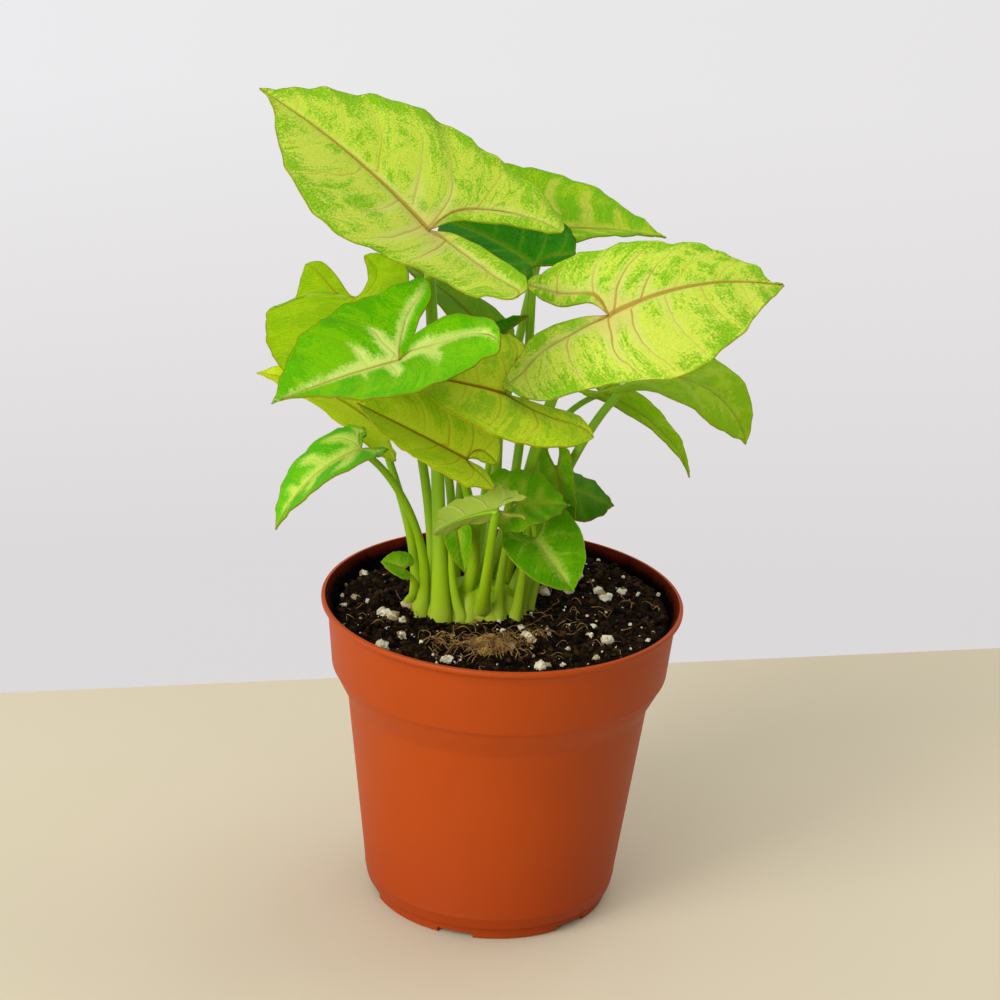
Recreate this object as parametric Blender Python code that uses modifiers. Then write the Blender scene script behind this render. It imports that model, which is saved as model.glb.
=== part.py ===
"""A potted arrowhead vine (syngonium) in a round plastic nursery pot.

Metres, +Z up. The origin is on the floor under the middle of the pot. Each leaf is one solid, its
blade and stalk grown together, and its stalk stands in a plain hole in the soil.
"""

import math
from dataclasses import dataclass

import bmesh
import bpy
from mathutils import Vector

MM = 0.001
GAP = 0.3  # clearance between neighbours, in mm

# Pot, in mm
POT_HEIGHT = 96.0
RIM_RADIUS = 54.0
WALL = 1.4
BAND_TOP = 92.0
BAND_BOTTOM = 74.5
SHOULDER_BOTTOM = 64.5
BODY_TOP_RADIUS = 45.2
BODY_BOTTOM_RADIUS = 37.8
FOOT_RADIUS = 36.0
FOOT_HEIGHT = 4.0
FLOOR_UNDERSIDE = 3.2
FLOOR_TOP = 5.0
MIDDLE_PAD_RADIUS = 12.0
POT_STEPS = 36
NOTCHES = 6
NOTCH_WIDTH = 11.0
NOTCH_HEIGHT = 1.6
FIRST_NOTCH_ANGLE = -105.0
DRAIN_RADIUS = 3.5
DRAIN_CIRCLE = 24.0

# Soil, in mm
SOIL_EDGE = 92.0
SOIL_HOLLOW = 1.5
HOLLOW_CENTRE = (-10.0, 2.0)
HOLLOW_SPREAD = 20.0
SOIL_RINGS = 11
SOIL_STEPS = 36
HOLE_FLOOR = 79.0
HOLE_SIDES = 8
STALK_FOOT = HOLE_FLOOR + GAP
STALK_RISE = 93.0  # where each stalk leaves the soil and starts its bend
# Chunks of perlite and a fibrous root lump, raised from the soil: x, y, radius, height
SOIL_LUMPS = (
    (-2.0, -31.0, 9.0, 2.4),
    (11.0, -22.0, 5.0, 1.8),
    (-36.0, 3.0, 5.0, 2.6),
    (-33.0, -22.0, 4.0, 1.8),
    (-12.0, -30.0, 3.5, 1.6),
    (24.0, 20.0, 5.0, 2.0),
    (34.0, -8.0, 4.0, 1.6),
)

# Blades and stalks, in mm
BLADE_THICKNESS = 0.7
STALK_POINTS = 11
STALK_TILT = 0.5  # turns the stalk's edges off the blade's middle line
# The midrib under the blade: how far along, how deep below the upper face, and its radius
MIDRIB_ENDS = ((0.12, 0.5), (0.3, 0.5))
MIDRIB_RADII = (0.75, 0.45)
VEIN_SLANT = 0.5
LOBE_VEIN_SHARE = 0.36  # how far across the lobe its vein ends up, from the notch side
BLADE_ROWS = 5  # side veins from the tip to the junction
LOBE_ROWS = 3
OUTER_POINTS = 3
# Places along a half's outline, counted in its control points from the tip
WIDEST = 4.4
LOBE_END = 8
SINUS_END = 12

POT_COLOUR = (0.50, 0.09, 0.022)
SOIL_COLOUR = (0.022, 0.013, 0.008)
BLADE_COLOURS = {
    "pale": (0.46, 0.68, 0.09),
    "green": (0.16, 0.45, 0.02),
    "dull": (0.22, 0.40, 0.02),
    "dark": (0.05, 0.24, 0.012),
}


@dataclass
class Leaf:
    """One leaf: where its blade joins its stalk, how the blade is turned and shaped, and its stalk.

    Lengths are in mm and angles in degrees. A pair is the right half, then the left half, seen from
    above with the tip pointing away.
    """

    name: str
    tone: str
    junction: tuple
    heading: float
    rise: float
    roll: float
    length: float
    width: tuple
    lobe: tuple
    foot: tuple
    lower_bend: tuple
    upper_bend: tuple
    stalk: tuple
    lobe_spread: tuple = (0.6, 0.6)
    sinus: tuple = (0.25, 0.25)
    cup: tuple = (14, 14)
    droop: float = 15
    lobe_droop: float = 12
    curl: float = 14
    twist: float = 0
    sway: float = 0
    fullness: float = 0.6
    waves: tuple = (0.0, 3.0, 0.0)
    outline: tuple = ()  # for an uneven blade: eleven points a half, tip to notch, as (out, along)


LEAVES = (
    Leaf("leaf_top_left", "pale", (-26, -2, 209), 148, 36, 14, 65, (33, 33), (38, 38),
         foot=(-18, -8), lower_bend=(-20, -9, 133), upper_bend=(-25, 0, 198), stalk=(2.3, 1.5),
         cup=(10, 10), droop=9, lobe_droop=-43, curl=6, sway=-13.5, waves=(0.8, 4, 40),
         outline=(((3, 62), (11.5, 55.5), (20.5, 45), (29, 32), (33.5, 17), (36, 2.5), (36.5, -14),
                   (29, -26), (24, -21), (19, -11.5), (9.5, -2.5)),
                  ((3, 58.5), (17.5, 44), (28.5, 27), (29, 11), (20.5, -2.5), (14.5, -16.5), (14, -33),
                   (10.5, -41.5), (-4.5, -31.5), (-7.5, -18.5), (-6, -6.5)))),
    Leaf("leaf_right", "pale", (26, -10, 189), 8.5, 30.5, -34, 52.5, (28, 28), (32, 32),
         foot=(-1, 7), lower_bend=(4, 3, 125), upper_bend=(12, -4, 184), stalk=(2.1, 1.4),
         cup=(3.5, 3.5), droop=41, lobe_droop=-5, curl=10.5, sway=17, waves=(0.6, 4, 0),
         outline=(((8, 44.5), (18, 33.5), (27, 20), (28.5, 6), (21.5, -6.5), (19.5, -19), (16.5, -30.5),
                   (9.5, -35.5), (3, -30.5), (-4.5, -20.5), (-4, -8.5)),
                  ((1, 49), (8, 44), (13.5, 35), (18, 24.5), (21.5, 12.5), (23.5, 1), (25, -10),
                   (22.5, -16.5), (16.5, -15.5), (10, -11), (6.5, -3)))),
    Leaf("leaf_front_left", "green", (-32, -32, 180), 207, -8, 10.5, 39.5, (26, 26), (27, 27),
         foot=(-20.5, -1), lower_bend=(-21, 8, 124), upper_bend=(-33, 4, 171), stalk=(1.6, 1.2),
         cup=(18.5, 18.5), droop=5, lobe_droop=-36, curl=11.5, sway=-7, waves=(0.5, 4, 60),
         outline=(((2.5, 37), (10.5, 30.5), (18, 23), (22, 14.5), (26.5, 5), (26, -5), (25.5, -16.5),
                   (21.5, -22), (15, -19.5), (11, -12.5), (4, -5.5)),
                  ((0.5, 36), (7.5, 29), (17.5, 23), (22.5, 15), (25.5, 7), (24.5, -4), (22.5, -16.5),
                   (25, -24), (11.5, -28.5), (-4.5, -22.5), (-7, -9)))),
    Leaf("leaf_back_right", "pale", (8.3, 45, 197.3), 19, 0, -13, 39, (12, 28), (7, 19),
         foot=(-10, 12), lower_bend=(-4, 44, 133), upper_bend=(6, 70, 188), stalk=(1.6, 1.2),
         cup=(14, 18), lobe_droop=11, curl=9, twist=16, waves=(0.6, 4, 0)),
    Leaf("leaf_back_middle", "dark", (4.5, 19, 193.5), 151, 24.5, 12.5, 35.5, (20, 20), (16, 16),
         foot=(-6, 7), lower_bend=(6, 14, 123), upper_bend=(4, 14, 186), stalk=(1.6, 1.2),
         cup=(15, 15), droop=27, lobe_droop=7, curl=10, sway=2.5,
         outline=(((4, 32), (9, 27), (14, 21), (18, 15), (20, 9), (20, 4), (17.5, -1.5),
                   (12.5, -5.5), (8, -5.5), (4.5, -4), (2, -2)),
                  ((6, 31.5), (13.5, 25), (17.5, 19), (17.5, 13), (16.5, 7.5), (15, 3), (14, -1),
                   (13, -4.5), (9.5, -4), (5.5, -3), (2.5, -1)))),
    Leaf("leaf_far_left", "dull", (-47, 12, 183.5), 233, -40, 6, 30.5, (20, 20), (15, 15),
         foot=(-20, 6), lower_bend=(-7, 15, 122), upper_bend=(-31, 11, 178), stalk=(1.5, 1.1),
         cup=(18.5, 18.5), droop=0, lobe_droop=-5, curl=14, sway=21.5,
         outline=(((6.5, 28), (12, 24.5), (17, 19.5), (19.5, 15), (17, 12), (15.5, 8), (17.5, 3),
                   (19, -2.5), (15.5, -5.5), (9, -3.5), (2.5, 0)),
                  ((9, 31), (14.5, 24), (17, 13), (18.5, 2), (16, -7.5), (9.5, -13.5), (0, -15.5),
                   (-5.5, -13), (-3, -10), (0, -6.5), (1, -2)))),
    Leaf("leaf_low_left", "green", (-42, -26, 151), 201, -15, -1, 35, (15, 14), (4, 5),
         foot=(-24, -4), lower_bend=(-20, -5, 113), upper_bend=(-32, -22, 143), stalk=(1.5, 1.0),
         lobe_spread=(0.66, 0.67), cup=(11, 14), droop=54, lobe_droop=9, curl=10, fullness=0.5),
    Leaf("leaf_under_left", "pale", (-36, 6, 143), 171, 42, 1, 44, (19, 18), (5, 5),
         foot=(-26, 5), lower_bend=(-25, 6, 111), upper_bend=(-37, 6, 137), stalk=(1.5, 1.1),
         cup=(18, 13), droop=42, twist=3, fullness=0.7, waves=(0.4, 4, 0)),
    Leaf("leaf_centre_low", "dull", (-12, -28, 150), 174, 25, 13, 35, (19, 19), (14, 14),
         foot=(-14, -2), lower_bend=(-1, -6, 113), upper_bend=(-17, -18, 146), stalk=(1.8, 1.2),
         cup=(16.5, 16.5), droop=8.5, lobe_droop=8, curl=9.5, sway=7.5, waves=(0.4, 3, 0),
         outline=(((5.5, 30), (12, 24), (17, 18), (20, 11), (20, 3.5), (17.5, -2.5), (11.5, -6.5),
                   (4.5, -8), (2.5, -6), (2, -3.5), (1.5, -1.5)),
                  ((9, 27.5), (13, 22), (15, 17), (17, 10.5), (17, 4), (16.5, -2), (13.5, -6),
                   (9.5, -10), (3, -8), (0, -5), (0, -2)))),
    Leaf("leaf_centre", "dull", (-2, -19, 167), 193, 18, 21, 30, (23, 22), (6, 24),
         foot=(-8, 0), lower_bend=(-1, 0, 116), upper_bend=(-5, -3, 159), stalk=(1.8, 1.3),
         cup=(16, 11), droop=12, lobe_droop=-6, waves=(0.4, 3, 90),
         outline=(((2.5, 28), (10, 24.5), (17, 18), (21.5, 10), (23, 2), (24, -2), (22, -4.5),
                   (18.5, -6), (13, -5.5), (10, -3.5), (3, -1.5)),
                  ((2.5, 28), (9.5, 24.5), (16, 18), (20.5, 10), (22, 2), (21.5, -8), (18.5, -18.5),
                   (12, -25), (2.5, -22.5), (1, -14), (0, -6)))),
    Leaf("leaf_back_left", "dark", (-10, 17, 175), 146, 31, -9, 33, (13, 14), (9, 9),
         foot=(-15, 5), lower_bend=(-14, 7, 121), upper_bend=(-14, 18, 168), stalk=(1.5, 1.0),
         cup=(11, 14), droop=14, curl=15, sway=2),
    Leaf("leaf_drooping_right", "green", (36, 10, 163), 2, 20, 5, 43, (20, 19), (13, 13),
         foot=(2, 1), lower_bend=(9, 4, 116), upper_bend=(25, 12, 160), stalk=(1.7, 1.2),
         cup=(13, 8), droop=97, curl=15, twist=-40, fullness=1.1, waves=(0.5, 3, 0)),
    Leaf("leaf_narrow_right", "green", (26, 26, 153), -7, -17, -28, 43, (6, 5), (7, 7),
         foot=(4, 7), lower_bend=(9, 11, 111), upper_bend=(2, 27, 141), stalk=(1.4, 0.9),
         cup=(33, 34), droop=61, sway=2, waves=(0.3, 3, 0)),
    Leaf("leaf_small_right", "dark", (17, 22, 124), 3, -16, -22, 17, (13, 10), (5, 5),
         foot=(8, 2), lower_bend=(11, 5, 106), upper_bend=(14, 17, 121), stalk=(1.3, 0.8),
         cup=(0, -3), droop=16, curl=17, sway=-3, fullness=0.7, waves=(0.4, 4, 0)),
    Leaf("leaf_folded", "green", (14, 4, 136), -73, -58, -28, 17, (5, 6), (8, 8),
         foot=(5.5, -1.5), lower_bend=(8, -3, 106), upper_bend=(11, 10, 140), stalk=(1.3, 0.8),
         cup=(36, 35), droop=29, sway=-17),
    Leaf("leaf_wavy", "green", (3, -15, 132), 4, 5, -32, 15, (11, 12), (7, 9),
         foot=(-1, -6), lower_bend=(-2, -5, 101), upper_bend=(2, -3, 130), stalk=(1.3, 0.8),
         cup=(18, 15), droop=16, twist=13, fullness=0.2, waves=(0.8, 3, 90)),
    Leaf("leaf_curled", "pale", (-3, -30, 136), 183, -9, -78, 21, (7, 6), (8, 8),
         foot=(-6, -6), lower_bend=(-5, -16, 104), upper_bend=(-4, -29, 131), stalk=(1.8, 1.1),
         cup=(5, 29), droop=46, lobe_droop=27, curl=-60, sway=3, fullness=0.8),
    Leaf("leaf_heart", "green", (9, -14, 121), -38, -37, -17, 19, (12, 13), (7, 9),
         foot=(4, -5), lower_bend=(6, -5, 101), upper_bend=(7, -5, 137), stalk=(1.3, 0.8),
         cup=(13, 16), droop=16, lobe_droop=10, curl=10, twist=-5, sway=-4),
    Leaf("leaf_spike", "dark", (-6, 6, 176), 25, 33, -22, 12, (3, 3), (2, 2),
         foot=(-10, 6), lower_bend=(-9, 7, 120), upper_bend=(0, 9, 170), stalk=(1.1, 0.7),
         cup=(35, 35), droop=20, fullness=0.0),
    Leaf("leaf_tiny", "green", (-29, -8, 107), 183, 25, 21, 7.5, (6, 5), (2, 2),
         foot=(-28, 0), lower_bend=(-27, -2, 96), upper_bend=(-23, -8, 102), stalk=(1.1, 0.7),
         droop=22, fullness=0.7),
    Leaf("leaf_unfurling", "green", (-14, -15, 123), -62, -63, -9, 13, (5, 4), (1.5, 1.5),
         foot=(-12, -8), lower_bend=(-17, -8, 103), upper_bend=(-16, -10, 131), stalk=(1.2, 0.7),
         cup=(19, 20), droop=23, sway=-6, fullness=0.0),
)


def metres(*values):
    return Vector(values) * MM


def clear_scene():
    for obj in list(bpy.data.objects):
        bpy.data.objects.remove(obj, do_unlink=True)


def collection(name, hidden=False):
    made = bpy.data.collections.new(name)
    bpy.context.scene.collection.children.link(made)
    made.hide_render = hidden
    return made


def material(name, colour, roughness):
    made = bpy.data.materials.new(name)
    made.use_nodes = True
    shader = made.node_tree.nodes["Principled BSDF"]
    shader.inputs["Base Color"].default_value = (*colour, 1.0)
    shader.inputs["Roughness"].default_value = roughness
    shader.inputs["Metallic"].default_value = 0.0
    return made


def mesh_object(name, bm, group, finish=None):
    mesh = bpy.data.meshes.new(name)
    bm.to_mesh(mesh)
    bm.free()
    obj = bpy.data.objects.new(name, mesh)
    group.objects.link(obj)
    if finish:
        mesh.materials.append(finish)
    return obj


def helper(obj):
    obj.hide_render = True
    obj.display_type = "WIRE"
    return obj


def turned(name, profile, steps, group, finish):
    """A solid of revolution about Z from (radius, height) points in mm, down its outer side."""
    bm = bmesh.new()
    points = [bm.verts.new(metres(r, 0, z)) for r, z in profile]
    for a, b in zip(points, points[1:]):
        bm.edges.new((a, b))
    obj = mesh_object(name, bm, group, finish)
    screw = obj.modifiers.new("turn", "SCREW")
    screw.axis = "Z"
    screw.angle = 2 * math.pi
    screw.steps = screw.render_steps = steps
    screw.use_merge_vertices = True
    screw.merge_threshold = 0.00005
    return obj


def cylinder(name, radius, low, high, x, y, sides, group):
    bm = bmesh.new()
    bmesh.ops.create_cone(bm, cap_ends=True, segments=sides, radius1=radius * MM,
                          radius2=radius * MM, depth=(high - low) * MM)
    obj = helper(mesh_object(name, bm, group))
    obj.location = metres(x, y, (low + high) / 2)
    return obj


def cut(obj, cutters):
    boolean = obj.modifiers.new("cut", "BOOLEAN")
    boolean.operand_type = "COLLECTION"
    boolean.collection = cutters
    boolean.operation = "DIFFERENCE"
    boolean.solver = "EXACT"


def pot_inside():
    """(radius, height) of the pot's inner wall, floor to rim, in mm."""
    return (
        (BODY_BOTTOM_RADIUS - WALL - 0.6, FLOOR_TOP),
        (BODY_BOTTOM_RADIUS - WALL, FLOOR_TOP + 2.0),
        (BODY_TOP_RADIUS - WALL, SHOULDER_BOTTOM),
        (RIM_RADIUS - 5.4, BAND_BOTTOM - 0.4),
        (RIM_RADIUS - 3.8, BAND_TOP),
        (RIM_RADIUS - 1.9, POT_HEIGHT),
    )


def build_pot(group, cutters):
    profile = [(0.0, FLOOR_TOP), *pot_inside()]
    profile += [
        (RIM_RADIUS - 0.6, POT_HEIGHT),
        (RIM_RADIUS, POT_HEIGHT - 0.7),
        (RIM_RADIUS, BAND_TOP + 1.2),
        (RIM_RADIUS - 2.3, BAND_TOP),
        (RIM_RADIUS - 3.9, BAND_BOTTOM),
        (RIM_RADIUS - 4.6, BAND_BOTTOM - 2.2),
        (RIM_RADIUS - 6.4, BAND_BOTTOM - 5.0),
        (BODY_TOP_RADIUS, SHOULDER_BOTTOM),
        (BODY_BOTTOM_RADIUS, FOOT_HEIGHT + 1.0),
        (BODY_BOTTOM_RADIUS - 0.6, FOOT_HEIGHT),
        (FOOT_RADIUS, FOOT_HEIGHT - 0.2),
        (FOOT_RADIUS, 0.0),
        (FOOT_RADIUS - 2.4, 0.0),
        (FOOT_RADIUS - 2.8, FLOOR_UNDERSIDE),
        (MIDDLE_PAD_RADIUS + 1.0, FLOOR_UNDERSIDE),
        (MIDDLE_PAD_RADIUS, 0.0),
        (0.0, 0.0),
    ]
    pot = turned("pot", profile, POT_STEPS, group, material("pot", POT_COLOUR, 0.42))
    for n in range(NOTCHES):
        angle = math.radians(FIRST_NOTCH_ANGLE + n * 360 / NOTCHES)
        bm = bmesh.new()
        bmesh.ops.create_cube(bm, size=1.0)
        notch = helper(mesh_object(f"notch_{n + 1}", bm, cutters))
        notch.scale = metres(6.0, NOTCH_WIDTH, 2 * NOTCH_HEIGHT)
        notch.location = metres(FOOT_RADIUS * math.cos(angle), FOOT_RADIUS * math.sin(angle), 0)
        notch.rotation_euler.z = angle
        middle = angle + math.pi / NOTCHES
        cylinder(f"drain_{n + 1}", DRAIN_RADIUS, -2.0, FLOOR_TOP + 3.0,
                 DRAIN_CIRCLE * math.cos(middle), DRAIN_CIRCLE * math.sin(middle), 8, cutters)
    cut(pot, cutters)
    return pot


def soil_height(x, y):
    """Height of the soil in mm: a slight hollow round the stalks, ripples and the raised lumps."""
    far = (x - HOLLOW_CENTRE[0]) ** 2 + (y - HOLLOW_CENTRE[1]) ** 2
    height = SOIL_EDGE - SOIL_HOLLOW * math.exp(-far / (2 * HOLLOW_SPREAD**2))
    height += 0.5 * math.sin(0.23 * x + 1.0) * math.cos(0.19 * y) + 0.02 * x
    height += 0.4 * math.sin(0.41 * x - 0.37 * y)
    for lump_x, lump_y, radius, rise in SOIL_LUMPS:
        off = math.hypot(x - lump_x, y - lump_y) / radius
        height += rise * max(0.0, 1 - off * off)
    return height


def build_soil(group, cutters):
    inside = [(r - GAP, z + (GAP if z == FLOOR_TOP else 0.0)) for r, z in pot_inside()[:4]]
    band_slope = (pot_inside()[4][0] - pot_inside()[3][0]) / (BAND_TOP - BAND_BOTTOM)
    edge = inside[-1][0] + (SOIL_EDGE - 3.0 - inside[-1][1]) * band_slope
    bm = bmesh.new()

    def ring(radius, height):
        points = []
        for n in range(SOIL_STEPS):
            angle = 2 * math.pi * n / SOIL_STEPS
            x, y = radius * math.cos(angle), radius * math.sin(angle)
            z = soil_height(x, y) if height is None else height
            points.append(bm.verts.new(metres(x, y, z)))
        return points

    rings = [ring(r, z) for r, z in inside]
    rings += [ring(edge * (1 - n / SOIL_RINGS), None) for n in range(SOIL_RINGS)]
    for low, high in zip(rings, rings[1:]):
        for n in range(SOIL_STEPS):
            after = (n + 1) % SOIL_STEPS
            bm.faces.new((low[n], low[after], high[after]))
            bm.faces.new((low[n], high[after], high[n]))
    bottom = bm.verts.new(metres(0, 0, inside[0][1]))
    top = bm.verts.new(metres(0, 0, soil_height(0, 0)))
    for n in range(SOIL_STEPS):
        after = (n + 1) % SOIL_STEPS
        bm.faces.new((bottom, rings[0][after], rings[0][n]))
        bm.faces.new((top, rings[-1][n], rings[-1][after]))
    soil = mesh_object("soil", bm, group, material("soil", SOIL_COLOUR, 0.95))
    for leaf in LEAVES:
        across_corners = (leaf.stalk[0] + GAP) / math.cos(math.pi / HOLE_SIDES)
        cylinder(f"hole_{leaf.name}", across_corners, HOLE_FLOOR, STALK_RISE + 8, *leaf.foot,
                 HOLE_SIDES, cutters)
    cut(soil, cutters)
    return soil


def smooth_points(points, place):
    """The point at place along a smooth curve through the points, one unit from each to the next."""
    last = len(points) - 1
    n = min(int(place), last - 1)
    t = place - n
    b, c = Vector(points[n]), Vector(points[n + 1])
    a = Vector(points[n - 1]) if n else 2 * b - c
    d = Vector(points[n + 2]) if n + 2 <= last else 2 * c - b
    return (
        2 * b + (c - a) * t + (2 * a - 5 * b + 4 * c - d) * t**2 + (3 * b - a - 3 * c + d) * t**3
    ) / 2


def half_outline(leaf, half):
    """Outline of one half of the flat blade, tip to sinus, as (out from the midrib, along it)."""
    length, width, lobe = leaf.length, leaf.width[half], leaf.lobe[half]
    if leaf.outline:
        return ((0.0, length), *leaf.outline[half])
    spread, sinus, full = leaf.lobe_spread[half], leaf.sinus[half], leaf.fullness
    return (
        (0.0, length),
        ((0.075 + 0.05 * full) * width, 0.94 * length),
        ((0.32 + 0.16 * full) * width, 0.81 * length),
        ((0.64 + 0.14 * full) * width, 0.60 * length),
        ((0.88 + 0.07 * full) * width, 0.34 * length),
        (width, 0.06 * length),
        (max(0.97, 0.55 + 0.62 * spread) * width, -0.34 * lobe),
        (max(0.80, spread + 0.16) * width, -0.74 * lobe),
        (spread * width, -lobe),
        ((spread - 0.24) * width, -0.90 * lobe),
        (max(0.55 * spread, sinus) * width, -0.58 * lobe),
        (0.55 * sinus * width, -0.24 * lobe),
    )


def turned_axes(leaf):
    """The blade's right, forward and up directions at its junction."""
    heading, rise, roll = (math.radians(v) for v in (leaf.heading, leaf.rise, leaf.roll))
    forward = Vector((math.cos(rise) * math.cos(heading), math.cos(rise) * math.sin(heading),
                      math.sin(rise)))
    level = Vector((math.sin(heading), -math.cos(heading), 0.0))
    above = level.cross(forward)
    right = level * math.cos(roll) + above * math.sin(roll)
    return right, forward, above * math.cos(roll) - level * math.sin(roll)


def bent(leaf, half, out, along, share):
    """Bends a point of the flat blade into place. share is how far round the margin its vein ends."""
    side = 1 if half == 0 else -1
    ahead = along >= 0
    turn = math.radians(leaf.droop if ahead else leaf.lobe_droop)
    reach = leaf.length if ahead else leaf.lobe[half]
    angle = turn * abs(along) / reach
    if abs(turn) < 1e-6:
        forward, down = along, 0.0
    else:
        forward = math.copysign(math.sin(angle) * reach / turn, along)
        down = (1 - math.cos(angle)) * reach / turn
    lean = math.copysign(math.sin(angle), along)
    across = abs(out) / leaf.width[half]
    tilt = math.radians(leaf.cup[half] - leaf.curl * across / 2)
    height, count, start = leaf.waves
    wave = math.sin(2 * math.pi * count * share + math.radians(start) + (0 if half == 0 else 1.3))
    sideways = side * out * math.cos(tilt)
    up = abs(out) * math.sin(tilt) + height * min(across, 1.2) ** 2 * wave
    roll = math.radians(leaf.twist) * along / leaf.length
    sideways, up = (
        sideways * math.cos(roll) - up * math.sin(roll),
        sideways * math.sin(roll) + up * math.cos(roll),
    )
    sideways += math.radians(leaf.sway) * along * abs(along) / (2 * leaf.length)
    right, ahead_way, above = turned_axes(leaf)
    place = (
        Vector(leaf.junction)
        + right * sideways
        + ahead_way * (forward + up * lean)
        + above * (up * math.cos(angle) - down)
    )
    return place * MM


def lobe_vein(leaf, half, t):
    """The vein from the junction (t = 0) into one lobe and to its end (t = 1), inside the lobe's middle."""
    inner = margin(leaf, half, SINUS_END - (SINUS_END - LOBE_END) * t)
    outer = margin(leaf, half, WIDEST + (LOBE_END - WIDEST) * t)
    across = LOBE_VEIN_SHARE * (1 - (1 - t) ** 2)
    return tuple(a + (b - a) * across for a, b in zip(inner, outer))


def margin(leaf, half, place):
    outline = [(*point, 0.0) for point in half_outline(leaf, half)] + [(0.0, 0.0, 0.0)]
    point = smooth_points(outline, place)
    return point.x, point.y


def vein_start(leaf, place):
    """Where on the midrib the side vein starts that ends at this place on the margin."""
    def mean(at):
        ends = [margin(leaf, half, at) for half in (0, 1)]
        return sum(along - VEIN_SLANT * out for out, along in ends) / 2

    return mean(place) - mean(WIDEST) * place / WIDEST


def vein_lines(leaf, half):
    """Rows of (out, along, place on the margin) that follow the side veins of a half, tip to lobe.

    A row in the lobe has its outer part and its inner part, which both start on the lobe's vein.
    """
    outer, inner = [], []
    for n in range(BLADE_ROWS + LOBE_ROWS + 1):
        if n <= BLADE_ROWS:
            place = WIDEST * n / BLADE_ROWS
            start = (0.0, vein_start(leaf, place))
        else:
            t = (n - BLADE_ROWS) / LOBE_ROWS
            place = WIDEST + (LOBE_END - WIDEST) * t
            start = lobe_vein(leaf, half, t)
        outer.append(row(start, margin(leaf, half, place), place, OUTER_POINTS))
    for n in range(LOBE_ROWS + 1):
        t = n / LOBE_ROWS
        place = SINUS_END - (SINUS_END - LOBE_END) * t
        inner.append(row(lobe_vein(leaf, half, t), margin(leaf, half, place), place, 1))
    return outer, inner


def row(start, end, place, count):
    steps = [n / count for n in range(count + 1)]
    return [
        (start[0] + (end[0] - start[0]) * t, start[1] + (end[1] - start[1]) * t, place)
        for t in steps
    ]


def build_blade(leaf, group, finish):
    """The blade: rows of points along its side veins, joined by triangles, then given a thickness."""
    bm = bmesh.new()
    made = {}

    def vertex(half, out, along, place):
        key = (half if out > 0.0001 else 0, round(out, 4), round(along, 4))
        if key not in made:
            made[key] = bm.verts.new(bent(leaf, half, out, along, place / SINUS_END))
        return made[key]

    for half in (0, 1):
        outer, inner = vein_lines(leaf, half)
        for rows, flipped in ((outer, half == 0), (inner, half == 1)):
            lines = [[vertex(half, *point) for point in line] for line in rows]
            for before, line in zip(lines, lines[1:]):
                for n in range(len(line) - 1):
                    for corners in ((before[n], before[n + 1], line[n + 1]),
                                    (before[n], line[n + 1], line[n])):
                        if len(set(corners)) == 3:
                            bm.faces.new(corners[::-1] if flipped else corners)
    obj = mesh_object(leaf.name, bm, group, finish)
    solid = obj.modifiers.new("thickness", "SOLIDIFY")
    solid.thickness = BLADE_THICKNESS * MM
    solid.offset = -1.0  # below the blade's upper face
    return obj


def stalk_route(leaf):
    """Points along the stalk in mm: straight up out of the soil, then one smooth bend."""
    ends = [Vector((*leaf.foot, STALK_RISE)), Vector(leaf.lower_bend),
            Vector(leaf.upper_bend), Vector(leaf.junction)]
    points = [Vector((*leaf.foot, STALK_FOOT))]
    for n in range(STALK_POINTS):
        t = n / (STALK_POINTS - 1)
        s = 1 - t
        points.append(ends[0] * s**3 + ends[1] * 3 * t * s * s + ends[2] * 3 * t * t * s
                      + ends[3] * t**3)
    return points


def midrib_points(leaf):
    """The end of the stalk, which runs on under the first part of the midrib, in mm."""
    above = turned_axes(leaf)[2]
    ends = []
    for share, drop in MIDRIB_ENDS:
        ends.append(bent(leaf, 0, 0.0, share * leaf.length, 0.0) / MM - above * drop)
    return ends


def build_stalk(leaf, group):
    route = stalk_route(leaf) + midrib_points(leaf)
    curve = bpy.data.curves.new(f"stalk_{leaf.name}", "CURVE")
    curve.dimensions = "3D"
    curve.bevel_depth = MM
    curve.bevel_resolution = 1
    curve.use_fill_caps = True
    spline = curve.splines.new("POLY")
    spline.points.add(len(route) - 1)
    foot, top = leaf.stalk
    for n, place in enumerate(route):
        share = min(1.0, max(0, n - 1) / (STALK_POINTS - 1))
        spline.points[n].co = (*(place * MM), 1.0)
        spline.points[n].radius = foot + (top - foot) * share**0.7
        spline.points[n].tilt = STALK_TILT
    for n, share in enumerate(MIDRIB_RADII, STALK_POINTS + 1):
        spline.points[n].radius = share * top
        spline.points[n].tilt = STALK_TILT
    drawn = bpy.data.objects.new(curve.name, curve)
    group.objects.link(drawn)
    bpy.context.view_layer.update()
    graph = bpy.context.evaluated_depsgraph_get()
    mesh = bpy.data.meshes.new_from_object(drawn.evaluated_get(graph))
    bpy.data.objects.remove(drawn, do_unlink=True)
    bm = bmesh.new()
    bm.from_mesh(mesh)
    bpy.data.meshes.remove(mesh)
    bmesh.ops.remove_doubles(bm, verts=bm.verts, dist=0.00001)
    bmesh.ops.recalc_face_normals(bm, faces=bm.faces)
    return helper(mesh_object(f"stalk_{leaf.name}", bm, group))


def build_leaf(leaf, group, stalks, finishes):
    blade = build_blade(leaf, group, finishes[leaf.tone])
    fuse = blade.modifiers.new("grown_together", "BOOLEAN")
    fuse.operation = "UNION"
    fuse.solver = "EXACT"
    fuse.object = build_stalk(leaf, stalks)
    return blade


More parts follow.
